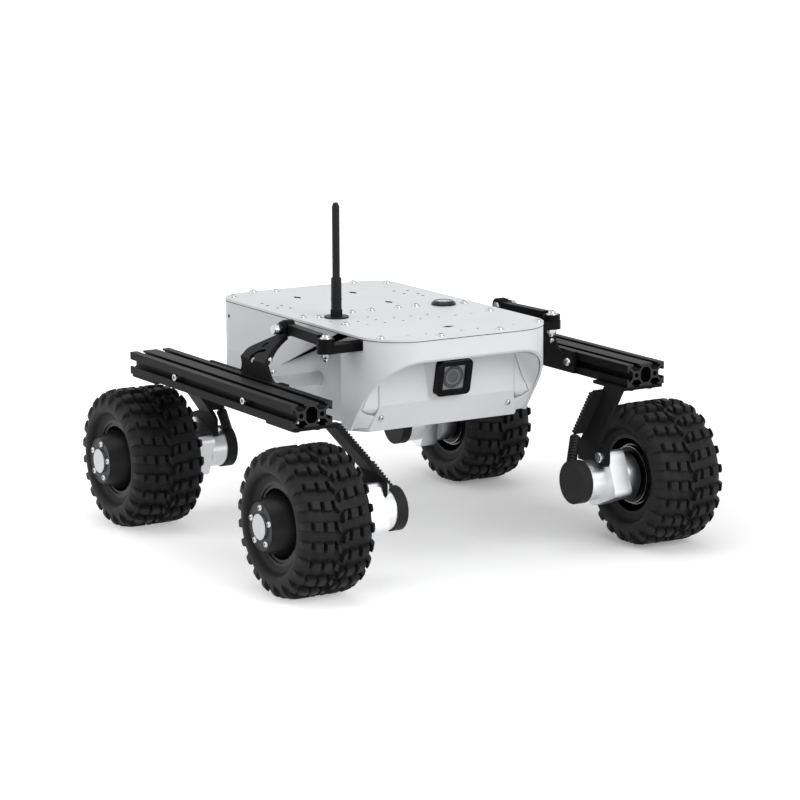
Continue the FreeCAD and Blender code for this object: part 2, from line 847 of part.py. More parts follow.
def rocker_front_edge(shift):
    """Points of the neck's hollow front edge in (x, z), from the rail plate to the ear."""
    low, high, bend, ear_bend, crown = rocker_heights()
    front = float(size("RockerNeckFront"))
    ear_front = float(size("RockerEarX")) + float(size("RockerEarRadius"))
    rise = ear_bend - bend
    plate_rise = bend - high
    points = [(front * out, high + plate_rise * up) for out, up in NECK_FRONT_LOW]
    points += [(front * out, bend + rise * up) for out, up in NECK_FRONT_HIGH]
    points.append((ear_front, ear_bend))
    return [Vector(x + shift, 0, z) for x, z in points]


def rocker_rear_edge():
    """Points of the neck's bulging rear edge in (x, z), from the ear to the rail plate."""
    low, high, bend, ear_bend, crown = rocker_heights()
    rear = -float(size("RockerNeckRear"))
    ear_rear = float(size("RockerEarX")) - float(size("RockerEarRadius"))
    rise = ear_bend - bend
    plate_rise = bend - high
    points = [(ear_rear, ear_bend + rise * EAR_FILLET)]
    points += [(rear * out, bend + rise * up) for out, up in NECK_REAR_HIGH]
    points += [(rear * out, high + plate_rise * up) for out, up in NECK_REAR_LOW]
    return [Vector(x, 0, z) for x, z in points]


def curve_through(points):
    """A smooth edge through points."""
    spline = Part.BSplineCurve()
    spline.interpolate(points)
    return spline.toShape()


def side_face(edges, reach):
    """A closed chain of edges in the (x, z) plane, swept to the left as far as the rails."""
    return Part.Face(Part.Wire(edges)).extrude(Vector(0, reach, 0))


def rocker_outline(reach):
    """The bracket's side view as a solid: rail plate, curved neck and round ear."""
    low, high, bend, ear_bend, crown = rocker_heights()
    half = float(size("RockerPlateLength")) / 2
    ear_x = float(size("RockerEarX"))
    ear_z = float(size("RockerEarZ"))
    ear_radius = float(size("RockerEarRadius"))
    front = rocker_front_edge(0)
    rear = rocker_rear_edge()
    ear_front = Vector(ear_x + ear_radius, 0, ear_z)
    ear_rear = Vector(ear_x - ear_radius, 0, ear_z)
    plate = [rear[-1], Vector(-half, 0, high), Vector(-half, 0, low), Vector(half, 0, low),
             Vector(half, 0, high), front[0]]
    edges = [Part.LineSegment(start, end).toShape() for start, end in zip(plate, plate[1:])]
    edges.append(curve_through(front))
    edges.append(Part.LineSegment(front[-1], ear_front).toShape())
    edges.append(Part.Arc(ear_front, Vector(ear_x, 0, crown), ear_rear).toShape())
    edges.append(Part.LineSegment(ear_rear, rear[0]).toShape())
    edges.append(curve_through(rear))
    return side_face(edges, reach)


def rocker_flange(reach):
    """The strip along the neck's front edge that is folded inward."""
    low, high, bend, ear_bend, crown = rocker_heights()
    sheet_wall = float(size("RockerSheet"))
    half = float(size("RockerPlateLength")) / 2
    outer = rocker_front_edge(0)
    inner = rocker_front_edge(-sheet_wall)
    band = side_face([curve_through(outer), Part.LineSegment(outer[-1], inner[-1]).toShape(),
                      curve_through(inner), Part.LineSegment(inner[0], outer[0]).toShape()], reach)
    deep = rocker_section(size("RockerSheet") + size("RockerFlangeDepth"))
    under_ear = block(-half, half, float(size("RockerEarY")) - sheet_wall, reach, low, ear_bend)
    return deep.common(band).common(under_ear)


def on_neck(shape, rise):
    """Lay a flat tool on the leaning neck, a distance up the slope from its lower bend."""
    low, high, bend, ear_bend, crown = rocker_heights()
    inward = float(RAIL_INNER) - float(size("RockerEarY"))
    slope = math.hypot(inward, ear_bend - bend)
    base = Vector(0, float(RAIL_INNER) - inward * rise / slope, bend + (ear_bend - bend) * rise / slope)
    turn = FreeCAD.Rotation(ALONG_X, 180 - math.degrees(math.atan2(ear_bend - bend, inward)))
    return shape.transformed(FreeCAD.Placement(base, turn).toMatrix(), True)


def neck_slots():
    """The curved slot and the small vent above it, as tools that cut the neck."""
    deep = float(size("RockerSheet")) * 2
    radius = float(size("RockerSlotRadius"))
    half = float(size("RockerSlotWide")) / 2
    x = float(size("RockerSlotX"))

    def disc(disc_radius, along):
        return Part.makeCylinder(disc_radius, 2 * deep, Vector(along.x, along.y, -deep))

    centre = Vector(x, 0, 0)
    ring = disc(radius + half, centre).cut(disc(radius - half, centre))
    reach = radius + 2 * half
    ring = ring.common(block(x - reach, x, -reach, reach, -deep, deep))
    ends = [disc(half, Vector(x, side * radius, 0)) for side in (-1, 1)]
    arc_slot = ring.fuse(ends)
    vent_half = float(size("RockerVentLength")) / 2
    vent_x = float(size("RockerVentX"))
    vent_side = float(size("RockerVentWide")) / 2
    vent = block(vent_x - vent_side, vent_x + vent_side, -vent_half, vent_half, -deep, deep)
    return [on_neck(arc_slot, float(size("RockerSlotRise"))),
            on_neck(vent, float(size("RockerVentRise")))]


def rocker_bracket_shape():
    """The left rocker's sheet bracket: rail plate, leaning neck and link ear."""
    reach = float(RAIL_INNER) + 1
    bracket = rocker_section(size("RockerSheet")).common(rocker_outline(reach))
    bracket = bracket.fuse(rocker_flange(reach))

    def bore(x, z, radius):
        return Part.makeCylinder(float(radius), reach, Vector(float(x), 0, float(z)), ALONG_Y)

    tools = neck_slots()
    tools.append(bore(size("RockerEarX"), size("RockerEarZ"), size("LinkPinRadius")))
    tools.append(bore(0, size("PivotZ"), size("PivotRadius")))
    for tool in tools:
        bracket = bracket.cut(tool)
    return bracket.removeSplitter()


def make_rocker_brackets():
    """Both sheet brackets."""
    shape = rocker_bracket_shape()
    add_shape("rocker_bracket_left", shape)
    add_shape("rocker_bracket_right", mirrored(shape))


def make_rocker_pivot(side_name, sign):
    """The pivot stub that carries the hull on the rocker bracket, with its spacer ring."""
    hinge, nose, hinge_y, nose_y = flap_plan(0)
    wall_y = -(hinge_y + (nose_y - hinge_y) * (0 - hinge) / (nose - hinge))
    start = Length(wall_y, repr(wall_y)) - size("PivotInnerEnd")
    end = RAIL_INNER
    ring_end = RAIL_INNER - size("RockerSheet")
    ring_start = ring_end - size("PivotFlangeThickness")
    radius = size("PivotRadius")
    ring = size("PivotFlangeRadius")
    body = new_body(f"rocker_pivot_{side_name}")
    sketch = new_sketch(body, "Profile", "YZ_Plane")
    draw_outline(sketch, [(start, 0), (start, radius), (ring_start, radius), (ring_start, ring),
                          (ring_end, ring), (ring_end, radius), (end, radius), (end, 0)])
    revolve(body, sketch)
    place(body, z=size("PivotZ"), turn=(0 if sign > 0 else 180))
    return body


# Differential bar and links

def make_differential_bar():
    """The bar that joins both rockers through the nose."""
    reach = float(size("BarEndY"))
    x = float(size("BarX"))
    z = float(size("BarBottomZ"))
    tall = float(size("BarTall"))
    half = float(size("BarWide")) / 2
    bar = block(x - half, x + half, -reach, reach, z, z + tall)
    radius = float(size("BarBossRadius"))
    for end in (-reach, reach):
        bar = bar.fuse(Part.makeCylinder(radius, tall, Vector(x, end, z)))
    for end in (-reach, reach):
        bar = bar.cut(Part.makeCylinder(float(size("LinkPinRadius")), tall, Vector(x, end, z)))
    return add_shape("differential_bar", bar.removeSplitter())


def link_shape():
    """The left link: a grooved arm with an upright eye on the bar and a crosswise eye at the ear."""
    x = float(size("BarX"))
    y = float(size("BarEndY"))
    z = float(size("BarBottomZ")) + float(size("BarTall"))
    eye = float(size("LinkEyeThickness"))
    radius = float(size("LinkEyeRadius"))
    tall = float(size("LinkTall"))
    half = float(size("LinkWide")) / 2
    groove = float(size("LinkGroove"))
    pin = float(size("LinkPinRadius"))
    ear_x = float(size("RockerEarX"))
    ear_z = float(size("RockerEarZ"))
    ear_face = float(size("RockerEarY")) - float(size("RockerSheet"))
    rear_y = ear_face - half
    length = math.hypot(x - ear_x, y - rear_y)
    arm_end = length - float(size("BarBossRadius")) - float(size("LinkClearance"))
    arm = block(0, arm_end, -half, half, -tall / 2, tall / 2)
    for side in (-half, half - groove):
        arm = arm.cut(block(radius, arm_end - radius, side, side + groove, -tall / 4, tall / 4))
    neck_low = z - ear_z
    arm = arm.fuse(block(0, length, -half, half, neck_low, neck_low + eye))
    heading = math.degrees(math.atan2(y - rear_y, x - ear_x))
    arm.Placement = FreeCAD.Placement(Vector(ear_x, rear_y, ear_z), FreeCAD.Rotation(ALONG_Z, heading))
    arm = arm.cut(block(ear_x - 2 * radius, ear_x + radius, ear_face, y + 2 * radius, 0, 2 * z))
    rear_eye = Part.makeCylinder(radius, 2 * half, Vector(ear_x, ear_face - 2 * half, ear_z), ALONG_Y)
    front_eye = Part.makeCylinder(radius, eye, Vector(x, y, z))
    link = arm.fuse(rear_eye).fuse(front_eye)
    link = link.cut(Part.makeCylinder(pin, 4 * radius, Vector(ear_x, y - 2 * radius, ear_z), ALONG_Y))
    link = link.cut(Part.makeCylinder(pin, 4 * radius, Vector(x, y, z - 2 * radius)))
    return link.removeSplitter()


def make_links():
    """Both links."""
    shape = link_shape()
    add_shape("differential_link_left", shape)
    add_shape("differential_link_right", mirrored(shape))


# Motors and their brackets

NECK_OUTER = size("HalfTrack") - size("MotorInset")
NECK_INNER = NECK_OUTER - size("NeckLength")
GEARBOX_INNER = NECK_INNER - size("GearboxLength")
CAN_INNER = GEARBOX_INNER - size("MotorLength")
CAP_INNER = CAN_INNER - size("MotorCapLength")


def draw_rounded_square(sketch, half, radius, tilt, offset):
    """Draw a tilted square with rounded corners, moved from the origin along its own first axis."""
    first = sketch.GeometryCount
    straight = half - radius
    centre_x = offset * math.cos(math.radians(tilt))
    centre_y = offset * math.sin(math.radians(tilt))
    for quarter in range(4):
        angle = math.radians(tilt + 90 * quarter)
        out_x, out_y = math.cos(angle), math.sin(angle)
        start = (centre_x + half * out_x + straight * out_y,
                 centre_y + half * out_y - straight * out_x)
        end = (centre_x + half * out_x - straight * out_y,
               centre_y + half * out_y + straight * out_x)
        centre = Vector(float(centre_x) + float(straight) * (out_x - out_y),
                        float(centre_y) + float(straight) * (out_y + out_x), 0)
        sketch.addGeometry(Part.LineSegment(Vector(float(start[0]), float(start[1]), 0),
                                            Vector(float(end[0]), float(end[1]), 0)))
        pin_point(sketch, first + 2 * quarter, 1, *start)
        pin_point(sketch, first + 2 * quarter, 2, *end)
        circle = Part.Circle(centre, ALONG_Z, float(radius))
        sketch.addGeometry(Part.ArcOfCircle(circle, angle, angle + math.pi / 2))
    for quarter in range(4):
        line = first + 2 * quarter
        arc = line + 1
        following = first + 2 * ((quarter + 1) % 4)
        sketch.addConstraint(Sketcher.Constraint("Coincident", line, 2, arc, 1))
        sketch.addConstraint(Sketcher.Constraint("Coincident", arc, 2, following, 1))
        index = sketch.addConstraint(Sketcher.Constraint("Radius", arc, float(radius)))
        sketch.setExpression(f"Constraints[{index}]", radius.formula)


def make_motor(place_name, end, sign):
    """One geared motor: can, rounded square gearbox and a neck bored for the shaft."""
    body = new_body(f"motor_{place_name}")
    profile = new_sketch(body, "Profile", "YZ_Plane")
    axle = size("HalfTrack")
    bore = size("ShaftRadius") + size("RunningFit")
    bore_end = NECK_OUTER - axle - size("ShaftLength")
    draw_outline(profile, [
        (CAN_INNER - axle, 0), (CAN_INNER - axle, size("MotorRadius")),
        (GEARBOX_INNER - axle, size("MotorRadius")), (GEARBOX_INNER - axle, size("NeckRadius")),
        (NECK_OUTER - axle, size("NeckRadius")), (NECK_OUTER - axle, bore),
        (bore_end, bore), (bore_end, 0),
    ])
    revolve(body, profile)
    outline = new_sketch(body, "GearboxOutline", "XZ_Plane", axle - NECK_INNER)
    forward = end * sign
    draw_rounded_square(outline, size("GearboxHalf"), size("GearboxCorner"),
                        forward * float(size("GearboxTilt")), forward * size("GearboxOffset"))
    pad(body, outline, size("GearboxLength"))
    seat_wheel(body, end, sign)
    return body


def motor_cap_shape():
    """The front left motor's rubber cap and the moulded lead that rises from it."""
    axle_x = float(size("HalfWheelbase"))
    axle_z = float(size("WheelRadius"))
    inner = float(CAP_INNER)
    length = float(size("MotorCapLength"))
    radius = float(size("LeadRadius"))
    cap = Part.makeCylinder(float(size("MotorCapRadius")), length,
                            Vector(axle_x, inner, axle_z), ALONG_Y)
    rear = float(size("LeadRootRear"))
    climb = math.sqrt((float(size("MotorCapRadius")) - radius) ** 2 - rear ** 2)
    root = Vector(axle_x - rear, inner + radius, axle_z + climb)
    tip = Vector(axle_x - float(size("LeadLean")), inner + float(size("LeadReach")),
                 axle_z + float(size("LeadRise")))
    middle = (root + tip) * 0.5 + Vector(1, -1, 1) * float(size("LeadBow"))
    route = Part.Arc(root, middle, tip).toShape()
    start = route.tangentAt(route.FirstParameter)
    section = Part.Face(Part.Wire(Part.makeCircle(radius, root, start)))
    turn = math.degrees(route.LastParameter - route.FirstParameter)
    return cap.fuse(section.revolve(route.Curve.Center, route.Curve.Axis, turn))


def make_motor_caps():
    """Four caps from one shape and its mirror images."""
    add_at_corners("motor_cap", motor_cap_shape())


def add_at_corners(name, shape):
    """Keep a front left shape and its mirror images as four pieces."""
    rearward = shape.mirror(ORIGIN, ALONG_X)
    add_shape(f"{name}_front_left", shape)
    add_shape(f"{name}_front_right", mirrored(shape))
    add_shape(f"{name}_rear_left", rearward)
    add_shape(f"{name}_rear_right", mirrored(rearward))


def pocket_through(body, sketch, length):
    """Cut a sketch both ways through the body."""
    feature = body.newObject("PartDesign::Pocket", "Pocket")
    feature.Profile = sketch
    bind(feature, "Length", length)
    feature.SideType = "Symmetric"
    return feature


def loft(body, low_sketch, high_sketch):
    """Join two sketches at different heights by straight walls."""
    feature = body.newObject("PartDesign::AdditiveLoft", "Loft")
    feature.Profile = low_sketch
    feature.Sections = [high_sketch]
    feature.Ruled = True
    return feature


def make_motor_bracket(place_name, end, sign):
    """One folded bracket: rail flange, leaning web, edge rib and the plate on the gearbox."""
    sheet_wall = size("BracketSheet")
    axle = size("HalfWheelbase")
    axle_z = size("WheelRadius")
    bend = RAIL_INNER - size("BracketBendInset")
    bend_z = size("BracketBendZ")
    foot_face = GEARBOX_INNER - sheet_wall
    lean = (float(bend) - float(foot_face)) / (float(RAIL_BOTTOM) - float(bend_z))
    sheet_across = sheet_wall * math.hypot(1, lean)
    web_wide = size("BracketWebWide")
    web_top = axle - size("BracketWebTopInset")
    web_foot = axle + size("BracketWebFootReach")
    body = new_body(f"motor_bracket_{place_name}")

    def slanted(z, front, back, near, far):
        """A rectangle in plan on the leaning web, given by offsets from its front inner edge."""
        share = (z - bend_z).number / (RAIL_BOTTOM - bend_z).number
        edge_x = web_foot + (web_top - web_foot) * share
        edge_y = foot_face + (bend - foot_face) * share
        sketch = new_sketch(body, "Plan", "XY_Plane", z)
        draw_outline(sketch, [(end * (edge_x - x), sign * (edge_y + y))
                              for x, y in ((front, near), (back, near), (back, far), (front, far))])
        return sketch

    flange = new_sketch(body, "RailFlange", "XY_Plane", RAIL_BOTTOM - sheet_wall)
    flange_rear = axle - size("BracketTopRear")
    flange_outer = RAIL_OUTER - size("BracketTopInset")
    draw_outline(flange, [(end * x, sign * y) for x, y in (
        (flange_rear, bend), (RAIL_HALF, bend), (RAIL_HALF, flange_outer),
        (flange_rear, flange_outer))])
    pad(body, flange, sheet_wall)

    loft(body, slanted(bend_z, 0, web_wide, 0, sheet_across),
         slanted(RAIL_BOTTOM, 0, web_wide, 0, sheet_across))
    rib = (web_wide - sheet_wall, web_wide, -size("BracketRibDepth"), sheet_across)
    loft(body, slanted(size("BracketRibLowZ"), *rib), slanted(size("BracketRibTopZ"), *rib))

    foot = new_sketch(body, "Foot", "XZ_Plane", -sign * foot_face)
    foot_rear = axle - size("BracketFootRear")
    foot_front = axle + size("BracketFootFront")
    foot_low = axle_z + size("BracketFootLow")
    ear_high = axle_z + size("BracketEarHigh")
    draw_outline(foot, [(end * x, z) for x, z in (
        (foot_rear, foot_low), (foot_front - sheet_wall, foot_low),
        (foot_front, foot_low + sheet_wall), (foot_front, ear_high),
        (web_foot, bend_z), (web_foot - web_wide, bend_z), (foot_rear, ear_high))])
    pad(body, foot, sheet_wall, reverse=(sign > 0))

    saddle = new_sketch(body, "Saddle", "XZ_Plane", -sign * (GEARBOX_INNER - sheet_wall / 2))
    draw_circle(saddle, end * axle, axle_z, size("MotorRadius") + size("CanClearance"))
    pocket_through(body, saddle, sheet_wall * 2)
    return body


# Wheels, drawn about their own axle: the sketch's x is the axle, outward positive

def polar_pattern(body, feature, count, axis_role):
    """Repeat a feature all the way round one of the body's own axes."""
    pattern = body.newObject("PartDesign::PolarPattern", "PolarPattern")
    axis = [item for item in body.Origin.OriginFeatures if item.Role == axis_role][0]
    pattern.Originals = [feature]
    pattern.Axis = (axis, [""])
    pattern.Angle = 360
    pattern.setExpression("Occurrences", count.formula)
    body.Tip = pattern
    return pattern


def knob_outlines():
    """The tread's knobs on one half, each as (across from the middle, radius) corners."""
    radius = size("WheelRadius")
    carcass = size("TyreCarcassRadius")
    sink = size("KnobSink")
    foot = carcass - sink
    half = size("TyreWidth") / 2
    shoulder_foot = carcass - size("TyreShoulderDrop") - sink
    bend_x = size("ShoulderKnobBend")
    return [
        [(size("CentreKnobNear"), foot), (size("CentreKnobNear"), radius),
         (size("CentreKnobFar"), radius), (size("CentreKnobFar"), foot)],
        [(size("OuterKnobNear"), foot), (size("OuterKnobNear"), radius),
         (size("OuterKnobFar"), radius - size("OuterKnobDrop")),
         (size("OuterKnobFar"), foot - sink)],
        [(size("ShoulderKnobNear"), shoulder_foot),
         (size("ShoulderKnobNear"), radius - size("ShoulderKnobDrop")),
         (bend_x, radius - size("ShoulderKnobBendDrop")),
         (half, radius - size("ShoulderKnobEndDrop")),
         (bend_x - sink, carcass - size("TyreEdgeDrop"))],
    ]


def make_tyre():
    """The front left balloon tyre, with staggered rows of knobs on its two halves."""
    body = new_body("tyre_front_left")
    sketch = new_sketch(body, "Profile", "YZ_Plane")
    half = size("TyreWidth") / 2
    carcass = size("TyreCarcassRadius")
    lip = size("TyreLipDepth")
    outer_side = [
        (size("TyreCrownWidth") / 2, carcass),
        (size("TyreShoulderWidth") / 2, carcass - size("TyreShoulderDrop")),
        (half - size("TyreEdgeInset"), carcass - size("TyreEdgeDrop")),
        (half - lip / 4, size("TyreBeadRadius")),
        (half - lip, size("TyreSeatRadius")),
    ]
    inner_side = [(-x, y) for x, y in reversed(outer_side)]
    draw_outline(sketch, outer_side + inner_side)
    revolve(body, sketch)
    for half_sign in (1, -1):
        knobs = new_sketch(body, "Knobs", "YZ_Plane")
        if half_sign < 0:
            half_row = FreeCAD.Rotation(ALONG_X, 180 / float(size("TreadRows")))
            knobs.AttachmentOffset = FreeCAD.Placement(ORIGIN, half_row)
        for corners in knob_outlines():
            draw_outline(knobs, [(half_sign * x, y) for x, y in corners])
        row = pad(body, knobs, size("KnobLength"), symmetric=True)
        polar_pattern(body, row, size("TreadRows"), "Y_Axis")
    seat_wheel(body, 1, 1)
    return body


def make_mirror_image(label, source, normal):
    """The same piece on the other side of the rover's middle."""
    image = document.addObject("Part::Mirroring", label)
    image.Label = label
    image.Source = source
    image.Normal = normal
    return image


def make_tyres():
    """The modelled tyre and its three mirror images."""
    front_left = make_tyre()
    document.recompute()
    rear_left = make_mirror_image("tyre_rear_left", front_left, ALONG_X)
    make_mirror_image("tyre_front_right", front_left, ALONG_Y)
    make_mirror_image("tyre_rear_right", rear_left, ALONG_Y)


def seat_wheel(body, end, sign):
    """Put a wheel piece on its axle, outward side out."""
    place(body, x=end * size("HalfWheelbase"), y=sign * size("HalfTrack"),
          z=size("WheelRadius"), turn=(0 if sign > 0 else 180))


def make_rim(place_name, end, sign):
    """The black rim: barrel, outer dish and hollow hub cone."""
    body = new_body(f"rim_{place_name}")
    sketch = new_sketch(body, "Profile", "YZ_Plane")
    edge = size("TyreWidth") / 2 - size("TyreLipDepth")
    seat = size("TyreSeatRadius")
    barrel = size("RimBarrelWall")
    dish = edge - size("RimDishDepth") + size("RimDishWall")
    face = size("TyreWidth") / 2 + size("RimFaceProud")
    base = size("RimConeBaseRadius")
    tip = size("RimConeFaceRadius")
    wall = size("RimConeWall")
    hub = size("HubFaceRadius") + size("HubGap")
    draw_outline(sketch, [
        (-edge, seat), (edge, seat), (edge, seat - barrel),
        (dish, seat - barrel), (dish, base),
        (face, tip), (face, hub), (face - wall, hub),
        (face - wall, tip - wall), (dish - size("RimDishWall"), base - wall),
        (dish - size("RimDishWall"), seat - barrel), (-edge, seat - barrel),
    ])
    revolve(body, sketch)
    seat_wheel(body, end, sign)
    return body


def make_wheel_hub(place_name, end, sign):
    """The turned hub: disc in the cone's face, flange and drive shaft."""
    body = new_body(f"wheel_hub_{place_name}")
    sketch = new_sketch(body, "Profile", "YZ_Plane")
    face = size("TyreWidth") / 2 + size("RimFaceProud")
    disc = size("HubFaceRadius")
    wall = size("RimConeWall")
    tip = size("RimConeFaceRadius")
    shaft = size("ShaftRadius")
    gearbox_face = NECK_OUTER - size("HalfTrack")
    shaft_end = gearbox_face - size("ShaftLength") + size("ShaftEndGap")
    flange = gearbox_face + size("HubFlangeGap")
    thick = size("HubFlangeThickness")
    collar = size("HubCollarDepth")
    draw_outline(sketch, [
        (shaft_end, 0),
        (shaft_end, shaft),
        (flange, shaft),
        (flange, size("HubBodyRadius")),
        (flange + thick, size("HubBodyRadius")),
        (flange + thick, disc),
        (face - wall - collar, disc),
        (face - wall - collar, tip - wall - size("HubCollarGap")),
        (face - wall, tip - wall - size("HubCollarGap")),
        (face - wall, disc),
        (face + size("HubFaceProud"), disc),
        (face + size("HubFaceProud"), 0),
    ])
    revolve(body, sketch)
    seat_wheel(body, end, sign)
    return body


def make_battery():
    """The heavy pack inside the hull, as one plain block."""
    body = new_body("battery_pack")
    sketch = new_sketch(body, "Base", "XY_Plane")
    long = size("BatteryLength") / 2
    wide = size("BatteryWide") / 2
    draw_outline(sketch, [(-long, -wide), (long, -wide), (long, wide), (-long, wide)])
    pad(body, sketch, size("BatteryTall"))
    place(body, x=-size("PlateRearX") / 2, z=size("HullBottomZ") + size("HullWall"))
    return body


SIDES = {"left": 1, "right": -1}
ENDS = {"front": 1, "rear": -1}

make_top_plate()
make_body_shell()
make_nose_shell()
make_nose_panel()
make_camera_housing()
make_camera_window()
make_camera_lens()
make_antenna()
make_power_button()
make_battery()
make_differential_bar()
make_links()
make_rocker_brackets()
make_motor_caps()
make_tyres()
for side_name, sign in SIDES.items():
    make_rocker_profile(side_name, sign)
    make_rocker_pivot(side_name, sign)
    for end_name, end in ENDS.items():
        corner_name = f"{end_name}_{side_name}"
        make_motor(corner_name, end, sign)
        make_motor_bracket(corner_name, end, sign)
        make_rim(corner_name, end, sign)
        make_wheel_hub(corner_name, end, sign)
document.recompute()

# Check every object, then write each piece.
for item in document.Objects:
    if "Invalid" in item.State or "Error" in item.State:
        raise RuntimeError(f"{item.Label} failed: {item.State}")
pieces = [item for item in document.Objects
          if item.TypeId in ("PartDesign::Body", "Part::Feature", "Part::Mirroring")]
for piece in pieces:
    if piece.Shape.isNull() or not piece.Shape.isValid() or not piece.Shape.Solids:
        raise RuntimeError(f"{piece.Label} has no sound solid")
os.makedirs("parts", exist_ok=True)
for piece in pieces:
    piece.Shape.exportStep(f"parts/{piece.Label}.step")
print(len(pieces), "pieces written")
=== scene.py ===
"""Planetary rover prototype: finishes, treads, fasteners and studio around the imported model.

The scene is in metres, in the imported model's frame: +X forward, +Y the rover's left, +Z up.
Sizes and places written below are in millimetres unless a comment says otherwise.
"""
import json
import math
from itertools import product

import bmesh
import bpy
from bpy.props import FloatProperty, FloatVectorProperty, IntProperty, PointerProperty
from mathutils import Matrix, Vector
from mathutils.bvhtree import BVHTree
from mathutils.geometry import convex_hull_2d


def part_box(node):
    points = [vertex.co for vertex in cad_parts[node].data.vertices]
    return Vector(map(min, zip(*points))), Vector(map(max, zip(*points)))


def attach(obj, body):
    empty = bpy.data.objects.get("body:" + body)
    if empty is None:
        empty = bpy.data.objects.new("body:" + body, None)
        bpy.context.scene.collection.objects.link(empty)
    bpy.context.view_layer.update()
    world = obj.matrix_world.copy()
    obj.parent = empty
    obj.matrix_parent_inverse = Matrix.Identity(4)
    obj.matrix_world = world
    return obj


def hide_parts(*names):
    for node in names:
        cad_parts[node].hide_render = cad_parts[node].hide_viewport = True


bl_info = {
    "name": "Planetary Rover Prototype",
    "version": (1, 0, 0),
    "blender": (4, 5, 0),
    "location": "View3D > Sidebar > Rover",
    "description": "Finishes, treads, fasteners and studio for a four-wheeled rover prototype",
    "category": "Object",
}

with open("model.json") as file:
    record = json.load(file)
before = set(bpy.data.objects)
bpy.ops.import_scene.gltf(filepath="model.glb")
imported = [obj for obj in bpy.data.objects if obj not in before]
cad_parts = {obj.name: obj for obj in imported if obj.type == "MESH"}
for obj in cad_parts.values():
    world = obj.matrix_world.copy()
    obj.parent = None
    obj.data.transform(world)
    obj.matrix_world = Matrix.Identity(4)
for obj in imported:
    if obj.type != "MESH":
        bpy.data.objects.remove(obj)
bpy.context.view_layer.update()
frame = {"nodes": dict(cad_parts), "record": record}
NODES = frame["nodes"]

MM = 0.001
SIDES = {"left": 1, "right": -1}
ENDS = {"front": 1, "rear": -1}
CORNERS = [(end, side) for side in SIDES for end in ENDS]
UP = Vector((0, 0, 1))
FORWARD = Vector((1, 0, 0))
LEFT = Vector((0, 1, 0))


def linear_channel(level):
    """One sRGB channel, 0 to 1, as linear light."""
    if level <= 0.04045:
        return level / 12.92
    return ((level + 0.055) / 1.055) ** 2.4


def linear(hex_colour):
    """An sRGB colour such as 'D9DADC' as linear red, green and blue."""
    return tuple(linear_channel(int(hex_colour[i:i + 2], 16) / 255) for i in (0, 2, 4))


# Sizes and colours that a user would change

def colour_property(name, description, hex_colour):
    """A colour, from its sRGB hex value."""
    return FloatVectorProperty(name=name, description=description, subtype="COLOR", size=3,
                               min=0, max=1, default=linear(hex_colour))


def number_property(name, description, unit, default):
    """A length in metres or a power in watts."""
    return FloatProperty(name=name, description=description, unit=unit, min=0, default=default)


class RoverFinish(bpy.types.PropertyGroup):
    """Colours of the rover's finishes."""
    shell: colour_property("Shell paint", "Powder coat of the body", "E5E6E8")
    anodised: colour_property("Rail anodising", "Black anodising of rails and links", "151516")
    bracket: colour_property("Bracket coat", "Textured powder coat of the brackets", "121213")
    rubber: colour_property("Tyre rubber", "Carbon-filled rubber of the tyres", "202021")
    motor: colour_property("Motor metal", "Turned aluminium of motors and hubs", "E6E7E9")
    button: colour_property("Button light", "Lit face of the power button", "B4B7D3")


class RoverTread(bpy.types.PropertyGroup):
    """Shape of the tyres' tread."""
    pitches: IntProperty(name="Pitches", description="Rows of knobs around a tyre", min=12,
                         max=40, default=22)
    knob_draft: FloatProperty(name="Draft", description="How far a knob narrows to its top",
                              subtype="FACTOR", min=0.5, max=1, default=0.84)


class RoverFasteners(bpy.types.PropertyGroup):
    """Sizes of the screws."""
    deck_head: number_property("Deck head", "Deck screws' diameter", "LENGTH", 8.4 * MM)
    rail_head: number_property("Rail head", "Rail screws' diameter", "LENGTH", 6.4 * MM)
    foot_head: number_property("Foot head", "Motor foot screws' diameter", "LENGTH", 9.2 * MM)


class RoverStage(bpy.types.PropertyGroup):
    """The studio around the rover."""
    floor: colour_property("Floor", "Paper sweep under the rover", "F6F6F6")
    key_power: number_property("Key light", "Power of the soft box overhead", "POWER", 12)
    fill_power: number_property("Fill light", "Power of the soft box in front", "POWER", 24)
    side_power: number_property("Side light", "Power of the soft box at the side", "POWER", 12)


# Materials

# Where in a noise's range a colour starts and ends its change.
RAMP_STOPS = (0.35, 0.65)
# How squarely a face looks along X where the saw has cut it.
SAW_CUT = 0.995


def add_node(tree, kind, inputs=None, links=None, **settings):
    """Add one node with its settings, its socket values and its incoming links."""
    node = tree.nodes.new(kind)
    for name, value in settings.items():
        setattr(node, name, value)
    for key, value in (inputs or {}).items():
        node.inputs[key].default_value = value
    for key, source in (links or {}).items():
        tree.links.new(source, node.inputs[key])
    return node


def start_material(name, **constants):
    """A material with a Principled shader whose plain values are set on its own sockets."""
    material = bpy.data.materials.new(name)
    material.use_nodes = True
    tree = material.node_tree
    tree.nodes.clear()
    shader = add_node(tree, "ShaderNodeBsdfPrincipled")
    add_node(tree, "ShaderNodeOutputMaterial", links={"Surface": shader.outputs["BSDF"]})
    for key, value in constants.items():
        shader.inputs[key.replace("_", " ")].default_value = value
    return material, tree, shader


def grain(tree, feature, detail=3.0, stretch=(1, 1, 1)):
    """Noise whose features have a size in millimetres; a small stretch draws them out."""
    place = add_node(tree, "ShaderNodeTexCoord")
    spread = add_node(tree, "ShaderNodeMapping", inputs={"Scale": stretch},
                      links={"Vector": place.outputs["Object"]})
    return add_node(tree, "ShaderNodeTexNoise", links={"Vector": spread.outputs["Vector"]},
                    inputs={"Scale": 1 / (feature * MM), "Detail": detail})


